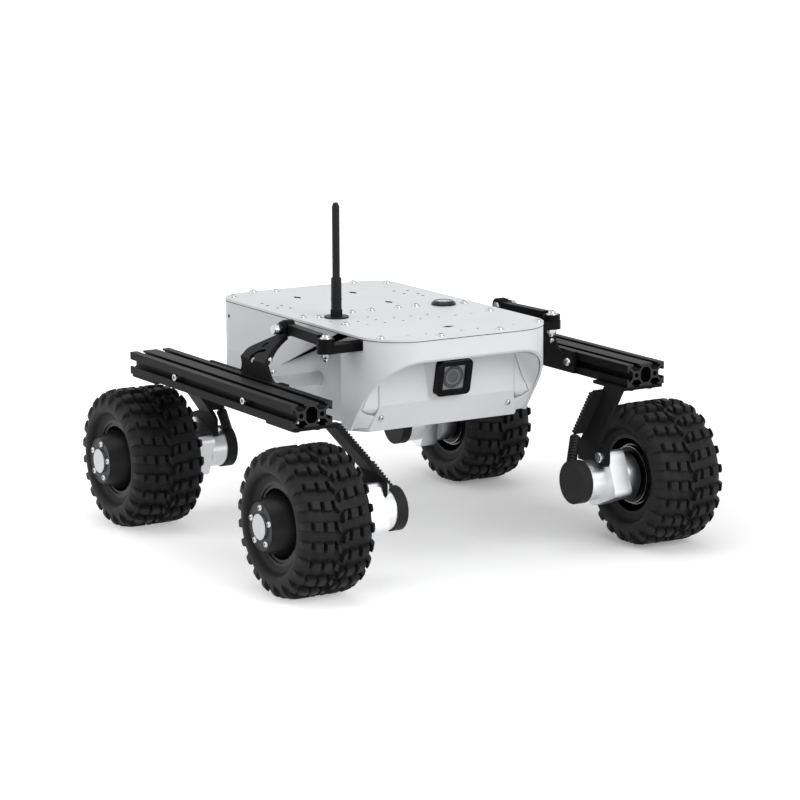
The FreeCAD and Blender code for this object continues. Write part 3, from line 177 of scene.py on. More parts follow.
def vary_colour(tree, shader, source, colour, shade):
    """Mix a colour with a darker shade of itself over a noise."""
    darker = tuple(channel * shade for channel in colour)
    ramp = add_node(tree, "ShaderNodeValToRGB", links={"Fac": source.outputs["Fac"]})
    for stop, position, tint in zip(ramp.color_ramp.elements, RAMP_STOPS, (darker, colour)):
        stop.position = position
        stop.color = (*tint, 1)
    tree.links.new(ramp.outputs["Color"], shader.inputs["Base Color"])


def roughen(tree, shader, source, height, edge=0.0):
    """Raise a noise by a real height and soften edges by a radius, both in millimetres."""
    bump = add_node(tree, "ShaderNodeBump", inputs={"Strength": 1.0, "Distance": height * MM},
                    links={"Height": source.outputs["Fac"]})
    if edge:
        soft = add_node(tree, "ShaderNodeBevel", inputs={"Radius": edge * MM}, samples=4)
        tree.links.new(soft.outputs["Normal"], bump.inputs["Normal"])
    tree.links.new(bump.outputs["Normal"], shader.inputs["Normal"])


def lighten_cut_ends(tree, shade):
    """Show another shade on the faces that look forward or back."""
    shader = tree.nodes["Principled BSDF"]
    facing = add_node(tree, "ShaderNodeNewGeometry")
    parts = add_node(tree, "ShaderNodeSeparateXYZ", links={"Vector": facing.outputs["True Normal"]})
    size = add_node(tree, "ShaderNodeMath", operation="ABSOLUTE", links={0: parts.outputs["X"]})
    cut = add_node(tree, "ShaderNodeMath", operation="GREATER_THAN", inputs={1: SAW_CUT},
                   links={0: size.outputs[0]})
    # A Mix node takes its two colours at 6 and 7 and gives the mixed one at 2.
    mix = add_node(tree, "ShaderNodeMix", data_type="RGBA", inputs={7: (*shade, 1)},
                   links={0: cut.outputs[0], 6: shader.inputs["Base Color"].links[0].from_socket})
    tree.links.new(mix.outputs[2], shader.inputs["Base Color"])


def varied(name, colour, shade, patches, skin=None, rough=None, height=0, edge=0, **constants):
    """A material whose colour varies over patches, and roughness and height over its skin.

    Patches and skin are what grain takes, rough is the range of roughness, and the skin's
    height and the radius that softens edges are in millimetres."""
    material, tree, shader = start_material(name, **constants)
    vary_colour(tree, shader, grain(tree, *patches), colour, shade)
    if skin:
        surface = grain(tree, *skin)
        spread = add_node(tree, "ShaderNodeMapRange", inputs={"To Min": rough[0], "To Max": rough[1]},
                          links={"Value": surface.outputs["Fac"]})
        tree.links.new(spread.outputs["Result"], shader.inputs["Roughness"])
    if height:
        roughen(tree, shader, surface, height, edge)
    return material


def powder_coated_sheet(colour):
    """Pale polyester powder coat on steel sheet: an even satin skin with a faint orange peel."""
    return varied("powder_coated_sheet", colour, 0.97, patches=(45,), skin=(1.6, 1.0),
                  rough=(0.38, 0.48), height=0.02, edge=0.6, IOR=1.5)


def anodised_aluminium(name, colour):
    """Black anodised extrusion: a dense satin oxide with die lines along X.

    Real die lines are under 0.1 mm wide and are drawn at 1 mm so that they show."""
    lines = (1.0, 3.0, (0.02, 1, 1))
    return varied(name, colour, 0.8, patches=lines, skin=lines, rough=(0.34, 0.48),
                  height=0.01, edge=0.5, IOR=1.14)


def cut_extrusion(colour, saw_grey):
    """The same extrusion with the saw's grey on its ends."""
    material = anodised_aluminium("anodised_extrusion", colour)
    lighten_cut_ends(material.node_tree, linear(saw_grey))
    return material


def textured_powder_coat(colour):
    """Fine-textured black powder coat: tiny sharp grains that break up the shine."""
    return varied("textured_powder_coat", colour, 0.85, patches=(12,), skin=(0.7, 2.0),
                  rough=(0.42, 0.6), height=0.05, edge=0.5, IOR=1.18)


def tyre_rubber(colour):
    """Carbon-filled moulded rubber: matte, with a bloom that greys it in patches."""
    return varied("tyre_rubber", colour, 0.72, patches=(9,), skin=(0.9,), rough=(0.5, 0.66),
                  height=0.06, IOR=1.28)


def moulded_nylon(name, hex_colour, low, high, gloss=1.28):
    """Nylon or ABS from a spark-eroded mould, with a close fine grain; gloss is its index."""
    return varied(name, linear(hex_colour), 0.85, patches=(14,), skin=(0.8, 1.0),
                  rough=(low, high), height=0.02, IOR=gloss)


def turned_aluminium(name, colour, low, high):
    """Aluminium turned on a lathe: bright, with tool rings around the axle, which lies along Y.

    Real rings are about 0.1 mm apart and are drawn at 0.5 mm so that they show."""
    return varied(name, colour, 0.95, patches=(8,), skin=(0.5, 1.0, (0.02, 1, 0.02)),
                  rough=(low, high), height=0.001, Metallic=1.0)


def screw_steel(name, hex_colour, low, high):
    """Cold-headed screw steel, bright or blackened, with faint handling marks."""
    return varied(name, linear(hex_colour), 0.9, patches=(1.2,), skin=(1.2,), rough=(low, high),
                  Metallic=1.0)


def clear_acrylic():
    """Cast acrylic pane: thin, glossy and faintly smoky, so the lens shows through."""
    return varied("clear_acrylic", linear("8C8D90"), 0.95, patches=(20,), IOR=1.2,
                  Roughness=0.05, Alpha=0.1)


def lit_polycarbonate(colour):
    """Frosted polycarbonate lens of the power button, softly lit from below."""
    return varied("lit_polycarbonate", colour, 0.9, patches=(1.0,), IOR=1.58, Roughness=0.35,
                  Emission_Strength=0.08, Emission_Color=(*colour, 1))


def bore_shade():
    """Unlit inside of a drilled hole or a punched slot."""
    return varied("bore_shade", linear("060606"), 0.8, patches=(2,), Roughness=0.9,
                  Specular_IOR_Level=0.0)


# Moulded plastics as name, colour, lowest and highest roughness, and index where it differs.
MOULDED = {
    "rim_black": ("moulded_rim_nylon", "0E0E0F", 0.28, 0.38),
    "cap_black": ("moulded_cap_rubber", "1D1D1E", 0.5, 0.62),
    "camera_black": ("moulded_camera_abs", "050505", 0.25, 0.35, 1.18),
    "lens_black": ("lens_barrel_abs", "59595C", 0.3, 0.45),
    "antenna_black": ("moulded_antenna_sleeve", "1A1A1B", 0.38, 0.5),
    "button_blue": ("button_bezel_abs", "12121A", 0.2, 0.3, 1.4),
    "battery_wrap": ("battery_shrink_wrap", "1C2B45", 0.3, 0.45),
    "sensor_grey": ("sensor_board_grey", "9C9D9F", 0.4, 0.5),
    # Its grey also paints the highlight along the camera housing's edge.
    "sensor_ring": ("lens_ring_grey", "7A7B7D", 0.35, 0.45),
    "lens_barrel": ("lens_barrel_grey", "4C4D4F", 0.4, 0.5),
    "lens_glass": ("lens_glass_grey", "5F6062", 0.2, 0.3),
}


def build_materials(finish):
    """All finishes, by the record's material slot or by their own short name."""
    return {
        **{slot: moulded_nylon(*recipe) for slot, recipe in MOULDED.items()},
        "shell_paint": powder_coated_sheet(finish.shell),
        "black_anodised": anodised_aluminium("anodised_aluminium", finish.anodised),
        "cut_anodised": cut_extrusion(finish.anodised, "3B3B3C"),
        "black_paint": textured_powder_coat(finish.bracket),
        "tyre_rubber": tyre_rubber(finish.rubber),
        "bright_metal": turned_aluminium("turned_aluminium", finish.motor, 0.26, 0.34),
        "hub_metal": turned_aluminium("turned_hub_aluminium", linear("B4B5B7"), 0.3, 0.4),
        "shaft_steel": turned_aluminium("turned_steel", linear("A8A9AB"), 0.25, 0.4),
        "window_glass": clear_acrylic(),
        # Also the steel of the painted highlight rings on the hubs' lips.
        "screw_bright": screw_steel("stainless_screw_steel", "C2C3C5", 0.2, 0.32),
        "screw_black": screw_steel("blackened_screw_steel", "2B2B2D", 0.35, 0.5),
        "button_light": lit_polycarbonate(finish.button),
        "bore_shade": bore_shade(),
        "neck_steel": turned_aluminium("polished_neck_steel", linear("A4A5A7"), 0.3, 0.4),
    }


# Filled by the finishes operator.
FINISHES = {}
# Nodes whose finish on this rover isn't the plain one of their material slot.
OWN_FINISHES = {
    "rocker_pivot_left": "shell_paint", "rocker_pivot_right": "shell_paint",
    "rocker_profile_left": "cut_anodised", "rocker_profile_right": "cut_anodised",
    **{f"wheel_hub_{end}_{side}": "hub_metal" for end, side in CORNERS},
}


# Shapes

# Screw heads, nuts and a bolt's tip as (share of the half width, share of the height[, sides]).
HEADS = {
    "button": [(0, 0), (1, 0), (1, 0.25), (0.93, 0.55), (0.78, 0.85), (0.6, 1), (0.42, 1, 6),
               (0.42, 0.25, 6), (0, 0.25)],
    "socket": [(0, 0), (1, 0), (1, 0.85), (0.9, 1), (0.5, 1, 6), (0.5, 0.4, 6), (0, 0.4)],
    "flanged": [(0, 0), (1, 0), (0.97, 0.16), (0.7, 0.28), (0.665, 0.62), (0.546, 0.9),
                (0.385, 1), (0.315, 1, 6), (0.315, 0.4, 6), (0, 0.4)],
    "hexagon": [(0, 0), (1, 0, 6), (1, 0.8, 6), (0.92, 1), (0, 1)],
    "tip": [(0, 0), (1, 0), (1, 0.606), (0.75, 0.909), (0, 1)],
}
# How far a painted shade mark, a flat dark shape for the unlit inside of a hole or slot, stands above
# the sheet it is made in, and how far it reaches below.
MARK_PROUD = 0.05
MARK_SUNK = 0.5


def turned_to(direction, at, spin=0.0):
    """Placement that stands a shape's own Z along a direction, at a point in millimetres."""
    turn = Vector(direction).to_track_quat("Z", "Y").to_matrix().to_4x4()
    return Matrix.Translation(Vector(at) * MM) @ turn @ Matrix.Rotation(spin, 4, "Z")


def ring_radius(radius, angle, sides=0):
    """Radius of a circle, or of a polygon with this many sides, across flats."""
    if not sides:
        return radius
    sector = math.tau / sides
    return radius / math.cos((angle % sector) - sector / 2)


def lathe(shape, place, profile, steps=24):
    """Turn a profile of (radius, height[, sides]) in millimetres about its own Z."""
    rings = []
    for radius, height, *sides in profile:
        if radius == 0:
            rings.append([shape.verts.new(place @ Vector((0, 0, height * MM)))])
            continue
        ring = []
        for step in range(steps):
            angle = math.tau * step / steps
            reach = ring_radius(radius, angle, *sides) * MM
            ring.append(shape.verts.new(place @ Vector((
                reach * math.cos(angle), reach * math.sin(angle), height * MM))))
        rings.append(ring)
    for low, high in zip(rings, rings[1:]):
        for step in range(steps):
            after = (step + 1) % steps
            corners = [low[step % len(low)], low[after % len(low)],
                       high[after % len(high)], high[step % len(high)]]
            unique = list(dict.fromkeys(corners))
            if len(unique) > 2:
                shape.faces.new(unique)


def add_object(name, data):
    """Put new data into the scene as an object."""
    thing = bpy.data.objects.new(name, data)
    bpy.context.scene.collection.objects.link(thing)
    return thing


def mesh_from(name, shape, material):
    """Turn a finished shape into a mesh of one material."""
    mesh = bpy.data.meshes.new(name)
    shape.to_mesh(mesh)
    shape.free()
    mesh.materials.append(material)
    return mesh


def keep_piece(name, shape, finish, body="chassis", angle=32):
    """Turn a shape into a piece that rides on a body, smooth below an angle in degrees."""
    bmesh.ops.recalc_face_normals(shape, faces=shape.faces)
    mesh = mesh_from(name, shape, FINISHES[finish])
    mesh.shade_smooth()
    mesh.set_sharp_from_angle(angle=math.radians(angle))
    piece = add_object(name, mesh)
    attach(piece, body)
    return piece


def turned_piece(name, place, profile, steps, finish):
    """One turned profile as a piece."""
    shape = bmesh.new()
    lathe(shape, place, profile, steps)
    keep_piece(name, shape, finish)


def corrugated(shape, start, end, outer, inner, pitch):
    """A ribbed cable sleeve from one point to another, in millimetres."""
    along = Vector(end) - Vector(start)
    profile = [(0, 0)]
    for rib in range(round(along.length / pitch)):
        foot = rib * pitch
        profile += [(outer, foot), (outer, foot + pitch * 0.5),
                    (inner, foot + pitch * 0.65), (inner, foot + pitch * 0.9)]
    profile.append((0, along.length))
    lathe(shape, turned_to(along, start), profile, steps=16)


def washer(shape, place, outer, inner, thick):
    """A flat ring."""
    lathe(shape, place, [(inner, 0), (outer, 0), (outer, thick), (inner, thick), (inner, 0)])


def mirror(point, side, end="front"):
    """A point or direction of the front left corner, taken to another corner."""
    x, y, z = point
    return Vector((x * ENDS[end], y * SIDES[side], z))


def keep_heads(name, finish, rows, side="left", end="front", body="chassis"):
    """One piece of screw heads and nuts, from rows of (kind, the way it faces, place, width,
    height[, spin]) that are written for the front left corner."""
    shape = bmesh.new()
    for kind, facing, at, width, height, *spin in rows:
        place = turned_to(mirror(facing, side, end), mirror(at, side, end), *spin)
        lathe(shape, place, [(reach * width / 2, share * height, *sides)
                             for reach, share, *sides in HEADS[kind]])
    keep_piece(name, shape, finish, body=body)


def hole_disc(shape, place, radius):
    """Painted shade for the dark mouth of a small drilled hole: a flat disc just proud of the
    surface.
    """
    lathe(shape, place, [(0, -MARK_SUNK), (radius, -MARK_SUNK), (radius, 0),
                         (radius * 0.9, MARK_PROUD), (0, MARK_PROUD)], steps=16)


def join_rings(shape, ring, other):
    """The faces between two matching rings of corners."""
    for index in range(len(ring)):
        shape.faces.new((ring[index - 1], ring[index], other[index], other[index - 1]))


def loft(shape, rings):
    """A closed form through matching rings of corners, flat at both ends."""
    for ring, other in zip(rings, rings[1:]):
        join_rings(shape, ring, other)
    shape.faces.new(rings[0])
    shape.faces.new(rings[-1])


def prism(shape, place, outline, low, high):
    """A closed prism of an outline, from one height to another."""
    loft(shape, [[shape.verts.new(place @ (Vector((x, y, height)) * MM)) for x, y in outline]
                 for height in (low, high)])


def mirrored(quarter):
    """A whole outline from its quarter between the first axis and the second."""
    half = quarter + [(-x, y) for x, y in reversed(quarter[:-1])]
    return half + [(x, -y) for x, y in reversed(half[1:-1])]


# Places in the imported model

def middle_of(name):
    """Middle of a node's box, in millimetres."""
    low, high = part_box(name)
    return (low + high) / 2 / MM


def foot_of(name):
    """Middle of the underside of a node's box, in millimetres."""
    low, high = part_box(name)
    return Vector((*((low + high) / 2).xy, low.z)) / MM


def outer_face(name, side):
    """How far across the rover a node reaches on its own side, in millimetres."""
    low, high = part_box(name)
    return (high.y if SIDES[side] > 0 else low.y) / MM


def corners_of(name):
    """A node's mesh corners in metres."""
    node = NODES[name]
    return [node.matrix_world @ vert.co for vert in node.data.vertices]


# Tyres

TYRE_RADIUS = 64.0
# Outer half of the carcass as (across from the middle, radius), from the rim seat to the seam.
CARCASS = [
    (27.1, 36.1), (27.2, 38.4), (27.8, 40.2), (29.2, 41.6), (31.3, 42.5), (33.2, 43.6),
    (34.4, 45.2), (34.8, 47.2), (34.5, 49.6), (33.8, 51.6), (32.6, 53.6), (31, 55.3),
    (28.6, 56.8), (25.2, 58), (20, 58.5), (9, 58.6), (0.7, 58.6), (0.35, 59.2), (0, 59.2),
]
CARCASS_STEPS = 132
# What the knobs stand on, from the seam to the widest part of the side wall.
KNOB_FLOOR = [(across, radius) for across, radius in reversed(CARCASS) if radius > 48]
# Where the knobs' tops end, as (across from the middle, radius).
CROWN = [(0, 64.0), (20, 64.0), (25, 63.2), (29.5, 61.6), (33, 58.8), (34.6, 55.2), (35, 51.5)]
KNOB_REACH = 35.0
# How far a row leans forward towards the tread's middle, per millimetre, and about which place.
ROW_LEAN = 0.15
LEAN_ABOUT = 16.0
# One row of knobs on one side, each as four corners (along the tread, across it).
KNOB_ROW = [
    [(-2.4, 1.4), (5.6, 1.2), (1.6, 5.2), (-5.0, 5.6)],
    [(-4.8, 8.4), (4.6, 8.0), (4.8, 15.6), (-3.6, 15.6)],
    [(-4.2, 18.6), (4.4, 18.6), (4.0, 26.2), (-3.8, 26.2)],
    [(-3.6, 29.2), (4.4, 29.2), (3.8, 34.4), (-2.8, 34.4)],
]
KNOB_SINK = 1.2
KNOB_FOOT_SPREAD = 1.1
# How far up a knob its broken edge starts.
KNOB_FLANK = 0.82


def along_curve(points, across):
    """Height of a polyline of (across, height) at a place, level past its last point."""
    across = min(across, points[-1][0])
    for (start, low), (end, high) in zip(points, points[1:]):
        if across <= end:
            break
    return low + (high - low) * (across - start) / (end - start)


def add_knob(shape, centre, sign, row_angle, corners, draft):
    """One moulded knob: a sunk foot, straight flanks, a broken edge and a crowned top."""
    corners = [Vector((x + ROW_LEAN * (LEAN_ABOUT - y), y)) for x, y in corners]
    middle = sum(corners, Vector((0, 0))) / len(corners)
    outline = []
    for start, end in zip(corners, corners[1:] + corners[:1]):
        outline += [start, (start + end) / 2]

    def corner(along, across, lift):
        """A corner of the knob; lift is 0 at its foot and 1 at its top."""
        across = min(across, KNOB_REACH)
        low = along_curve(KNOB_FLOOR, across) - KNOB_SINK
        radius = low + (along_curve(CROWN, across) - low) * lift
        angle = row_angle + along / TYRE_RADIUS
        out = Vector((radius * math.sin(angle), sign * across, radius * math.cos(angle)))
        return shape.verts.new((centre + out) * MM)

    def ring(spread, lift):
        """The knob's outline, drawn out from its middle."""
        return [corner(*(middle + (at - middle) * spread), lift) for at in outline]

    rings = [ring(KNOB_FOOT_SPREAD, 0), ring(1, KNOB_FLANK), ring(draft, 1)]
    for low, high in zip(rings, rings[1:]):
        join_rings(shape, low, high)
    top = rings[-1]
    crown = corner(*middle, 1)
    for index in range(len(top)):
        shape.faces.new((top[index - 1], top[index], crown))


def build_tyre(end, side, tread):
    """A moulded balloon tyre with staggered rows of knobs, for one corner."""
    centre = middle_of(f"tyre_{end}_{side}")
    sign = SIDES[side]
    shape = bmesh.new()
    profile = [(radius, across) for across, radius in CARCASS]
    profile += [(radius, -across) for across, radius in reversed(CARCASS[:-1])]
    profile.append(profile[0])
    lathe(shape, turned_to(LEFT * sign, centre), profile, CARCASS_STEPS)
    bmesh.ops.remove_doubles(shape, verts=shape.verts, dist=1e-6)
    pitch = math.tau / tread.pitches
    for row in range(tread.pitches):
        for half, shift in ((sign, 0), (-sign, 0.5)):
            for corners in KNOB_ROW:
                add_knob(shape, centre, half, (row + shift) * pitch, corners, tread.knob_draft)
    tyre = keep_piece(f"treaded_tyre_{end}_{side}", shape, "tyre_rubber",
                      f"wheel_{end}_{side}", angle=38)
    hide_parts(f"tyre_{end}_{side}")


# Wheels

HUB_SCREWS = 5
HUB_SCREW_CIRCLE = 16.0
# How far the circle of screws is turned, in degrees.
HUB_SCREW_TURN = {"front": 0.0, "rear": -10.0}
HUB_CAP_RADII = (11.0, 9.6)
HUB_CAP_GAP = 0.05
# How far the hub's inner flange lies in from the wheel's middle.
FLANGE_IN = 26.0
# Rings of a wheel, each as (out from its plane, outer radius, inner radius, thickness).
RIM_RINGS = [(-18, 33, 30.4, 1.0), (-0.2, 20.2, 19.2, 0.5)]
FLANGE_LIPS = [(0, 26, 23.8, 1.4), (3.2, 27.6, 23.8, 1.6), (-0.8, 24.2, 7, 0.8)]
# Painted highlights: thin bright rings on the lips' edges, where the light catches them.
FLANGE_HIGHLIGHTS = [(-0.1, 25.6, 25.2, 0.1), (3.1, 27.2, 26.9, 0.1)]


def build_wheel_trim(end, side):
    """Screws, step ring, rubber-lipped inner rings and painted lip highlights of one wheel."""
    corner = f"{end}_{side}"
    body = f"wheel_{corner}"
    sign = SIDES[side]
    centre = middle_of(f"tyre_{corner}")
    face = outer_face(f"rim_{corner}", side)
    flange = centre.y - sign * FLANGE_IN
    screws = []
    for index in range(HUB_SCREWS):
        angle = math.tau * index / HUB_SCREWS + sign * math.radians(HUB_SCREW_TURN[end])
        at = (centre.x + HUB_SCREW_CIRCLE * math.sin(angle), face,
              centre.z + HUB_SCREW_CIRCLE * math.cos(angle))
        screws.append(("button", LEFT * sign, at, 5.6, 2.0))
    keep_heads(f"hub_screws_{corner}", "screw_bright", screws, body=body)

    def keep_rings(name, plane, rings, finish):
        """Make one piece of rings about the axle, placed out from a plane across it."""
        shape = bmesh.new()
        for out, *sizes in rings:
            at = (centre.x, plane + sign * out, centre.z)
            washer(shape, turned_to(LEFT * sign, at), *sizes)
        keep_piece(f"{name}_{corner}", shape, finish, body)

    cap_thick = abs(outer_face(f"wheel_hub_{corner}", side) - face) - HUB_CAP_GAP
    keep_rings("hub_cap_ring", face, [(0, *HUB_CAP_RADII, cap_thick)], "hub_metal")
    keep_rings("rim_rings", face, RIM_RINGS, "rim_black")
    keep_rings("hub_lips", flange, FLANGE_LIPS, "rim_black")
    # Painted highlights on the lips' edges, in bright screw steel.
    keep_rings("hub_bright_edges", flange, FLANGE_HIGHLIGHTS, "screw_bright")


# Deck

DECK_SCREWS = [
    (112, 80.7), (112, -80.7), (127.7, 30.4), (127.7, -30.4), (39, 77), (34, -70),
    (-19, -84), (-19, -33), (-19, -12.6), (-19, 15.6), (-19, 34.5), (-9, 80), (-11, -72.5),
    (-161, -33), (-170, -52), (-154, -82), (-167, 55), (-148.5, 82),
]
DECK_HOLES = [
    (-106.2, -77.4), (-93.5, -78.6), (-76.3, -77.7), (-86.6, -67.8), (-69.9, -67.7),
    (-103.3, 62.2), (-85.5, 62.4), (-99, 74.4), (-78.4, 73.4), (-65.9, 71.1),
]
DECK_GRID = (
    [(113, y) for y in (-36, 0, 17)]
    + [(44, y) for y in (-36, -17, 0.7, 20, 37.5)]
    + [(26.5, y) for y in (-53, -35, -16, 1.7, 19)]
    + [(13.6, -73.4), (10.5, -33.6)]
)
DECK_HOLE_RADIUS = 1.6
GRID_HOLE_RADIUS = 1.2
# Slots as (x, y, turn in degrees).
DECK_SLOTS = [(91.5, 0, 90), (-119, -33, 0), (-116, 25, 0), (-51, 25, 0)]
# One quarter of a slot's outline: thin ends and a wide middle.
SLOT_QUARTER = [(6.2, 0), (5.8, 0.7), (3.4, 1.0), (2.2, 2.6), (0, 2.8)]
# The deck's seam is painted shade, a thin dark band for the gap under the plate's edge: how tall it
# is, and how far it stands out from the edge and reaches in.
SEAM_TALL = 0.5
SEAM_OUT = 0.04
SEAM_IN = 0.16
# How far from a height, in metres, a corner still counts as level with it.
LEVEL_WITHIN = 1e-4
# Profiles of the power button's rim and lens, as (radius, height over its foot).
BEZEL_PROFILE = [(9.5, 3.0), (9.5, 3.65), (9.0, 3.9), (8.4, 3.85), (5.6, 3.64), (5.6, 3.0),
                 (9.5, 3.0)]
LENS_PROFILE = [(0, 3.3), (5.6, 3.3), (5.5, 3.68), (3.5, 3.85), (0, 3.9)]
# The aerial's seam rings as (height over its foot, outer radius), and what they sit on.
AERIAL_RINGS = [(16, 5.0), (35, 4.4)]
AERIAL_RADIUS = 4.2
KNURLS = 20
KNURL_CIRCLE = 4.9
KNURL_FROM = 1.5
KNURL_PROFILE = [(0, 0), (0.5, 0), (0.5, 5.5), (0, 6)]


def build_deck_screws(fasteners):
    """Bright flanged screws round the deck's edge and across its middle."""
    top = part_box("top_plate")[1].z / MM
    keep_heads("deck_screws", "screw_bright", [
        ("flanged", UP, (x, y, top), fasteners.deck_head / MM, 2.1, index)
        for index, (x, y) in enumerate(DECK_SCREWS)])


def build_deck_holes():
    """Painted shade for small drilled holes and punched slots in the deck: flat dark discs and slot
    shapes.
    """
    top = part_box("top_plate")[1].z / MM
    shape = bmesh.new()
    for places, radius in ((DECK_HOLES, DECK_HOLE_RADIUS), (DECK_GRID, GRID_HOLE_RADIUS)):
        for x, y in places:
            hole_disc(shape, turned_to(UP, (x, y, top)), radius)
    for x, y, turn in DECK_SLOTS:
        place = turned_to(UP, (x, y, top), math.radians(turn))
        prism(shape, place, mirrored(SLOT_QUARTER), -MARK_SUNK, MARK_PROUD)
    keep_piece("deck_holes", shape, "bore_shade")


def build_deck_seam():
    """Painted shade in the narrow gap between the deck plate and the body under it."""
    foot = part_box("top_plate")[0].z
    level = sorted({(round(at.x, 5), round(at.y, 5)) for at in corners_of("top_plate")
                    if abs(at.z - foot) < LEVEL_WITHIN})
    outline = [Vector((*level[index], foot)) / MM for index in convex_hull_2d(level)]
    shape = bmesh.new()
    bands = []
    for index, at in enumerate(outline):
        along = outline[(index + 1) % len(outline)] - outline[index - 1]
        out = along.cross(UP).normalized()
        bands.append([shape.verts.new((at + out * reach + UP * height) * MM)
                      for reach, height in ((SEAM_OUT, 0), (SEAM_OUT, SEAM_TALL),
                                            (-SEAM_IN, SEAM_TALL), (-SEAM_IN, 0))])
    for index, band in enumerate(bands):
        join_rings(shape, bands[index - 1], band)
    keep_piece("deck_seam", shape, "bore_shade")


def build_power_button():
    """Bezel and lit lens of the power button."""
    place = turned_to(UP, foot_of("power_button"))
    turned_piece("button_bezel", place, BEZEL_PROFILE, 48, "button_blue")
    turned_piece("button_lens", place, LENS_PROFILE, 48, "button_light")


def build_antenna_trim():
    """Seam rings and knurled foot of the aerial."""
    foot = foot_of("antenna")
    shape = bmesh.new()
    for height, radius in AERIAL_RINGS:
        lathe(shape, turned_to(UP, foot + UP * height), [
            (AERIAL_RADIUS, 0), (radius, 0.2), (radius, 0.9), (AERIAL_RADIUS, 1.1),
            (AERIAL_RADIUS, 0)], steps=32)
    for index in range(KNURLS):
        angle = math.tau * index / KNURLS
        out = Vector((math.cos(angle), math.sin(angle), 0)) * KNURL_CIRCLE
        lathe(shape, turned_to(UP, foot + out + UP * KNURL_FROM), KNURL_PROFILE, steps=8)
    keep_piece("antenna_rings", shape, "antenna_black")


# Camera

CAMERA_PITCH = math.radians(12)
CAMERA_LOOK = Vector((math.cos(CAMERA_PITCH), 0, -math.sin(CAMERA_PITCH)))
# Where the lens axis meets the housing's face.
CAMERA_FACE = Vector((102.4, 0, 159.0))
# Seen through the pane: name, finish, depth behind the face, spin in degrees, steps, profile.
CAMERA_PIECES = [
    ("camera_board", "sensor_grey", 3.3, 45, 48,
     [(9.2, 0), (11.4, 0, 4), (11.4, 0.1, 4), (9.2, 0.1), (9.2, 0)]),
    ("camera_barrel", "lens_barrel", 3.15, 0, 64,
     [(7.2, 0), (10.7, 0), (10.7, 0.1), (7.2, 0.1), (7.2, 0)]),
    ("camera_lens_ring", "sensor_ring", 3.1, 0, 64,
     [(5.5, 0), (7.3, 0), (7.3, 0.2), (5.5, 0.2), (5.5, 0)]),
    ("camera_lens_glass", "lens_glass", 3.1, 0, 64,
     [(0, 0), (5.6, 0), (5.4, 0.1), (0, 0.15)]),
]
# A painted highlight along the housing's top front edge, a thin grey rod: its height over the lens,
# half its length, and radius.
CAMERA_HIGHLIGHT_UP = 16.2
CAMERA_HIGHLIGHT_HALF = 12.6
CAMERA_HIGHLIGHT_RADIUS = 0.22


def build_camera_details():
    """Sensor board, lens barrel, ring and glass behind the pane, and a painted highlight along the
    housing's edge.
    """
    for name, finish, depth, spin, steps, profile in CAMERA_PIECES:
        place = turned_to(CAMERA_LOOK, CAMERA_FACE - CAMERA_LOOK * depth, math.radians(spin))
        turned_piece(name, place, profile, steps, finish)
    # The painted highlight: a thin grey rod where the light catches the housing's top front edge.
    start = CAMERA_FACE + CAMERA_LOOK.cross(LEFT) * CAMERA_HIGHLIGHT_UP - LEFT * CAMERA_HIGHLIGHT_HALF
    rod = [(0, 0), (CAMERA_HIGHLIGHT_RADIUS, 0), (CAMERA_HIGHLIGHT_RADIUS, 2 * CAMERA_HIGHLIGHT_HALF),
           (0, 2 * CAMERA_HIGHLIGHT_HALF)]
    turned_piece("camera_broken_edge", turned_to(LEFT, start), rod, 8, "sensor_ring")


# Rails, rockers and legs, all written for the front left corner

# Thickness of the sheet that the brackets are folded from.
BRACKET_SHEET = 3.0
RAIL_SCREWS_X = (-62.3, 65.4)
RAIL_SCREW_Z = 152.6
RAIL_SLOT_DEEP = 3.0
RAIL_INNER_SCREWS_X = (-61.0, 61.5)
# Bolts in the rail's two lower slots: how far the slots lie from its middle.
RAIL_ROWS = (-10, 10)
RAIL_STUD_X = {"left": 126, "right": 141}
RAIL_STUD_LIFT = 4.8
LEG_SCREWS_X = (118, 141)
# Painted shade for the mouth of the rail's middle chamber, a flat dark plate on each end: one quarter
# of its outline, and where it starts and ends.
RAIL_CHAMBER = [(5.4, 0), (5.4, 3.6), (2.6, 6.9), (0, 6.9)]
RAIL_CHAMBER_X = (149, 150.05)
# The polished sleeve of a motor's neck: where it starts across the rover, and its profile.
NECK_FROM = 133.5
NECK_PROFILE = [(16.6, 0), (20.9, 0), (21.2, 0.5), (21.2, 16.0), (20.6, 16.6), (16.6, 16.6),
                (16.6, 0)]
# The ribbed sleeves of a motor's lead, as start, end, outer and inner radius and rib pitch.
LEAD_SLEEVES = [
    ((146.0, 94.2, 80.5), (133.2, 107.0, 102.4), 4.7, 3.6, 3.0),
    ((132.6, 105.9, 104.2), (124.0, 130.6, 136.2), 2.2, 1.0, 3.0),
]
# The screw on a leg's foot: ahead of the wheel's centre, out from the rover's middle, and up.
FOOT_SCREW = (13.8, 112.5, 23.0)
# A differential link's bolt through the bar's end: how far out it is, its head's seat and nut.
LINK_BOLT_Y = 117.0
LINK_BOLT_TOP = 202.0
LINK_NUT_TALL = 4.6
# Its bolt through the rocker's ear, the ear's outer face and the nut's seat.
EAR_X = 4.0
EAR_Z = 199.5
EAR_OUTER_Y = 118.5
EAR_NUT_Y = 109.6
SPACER_THICK = 3.6
# The rivets of a rocker bracket's front flange, as (x, z).
FLANGE_RIVETS = [(33.2, 178.7), (38.3, 169.0)]
FLANGE_RIVETS_Y = 145.5


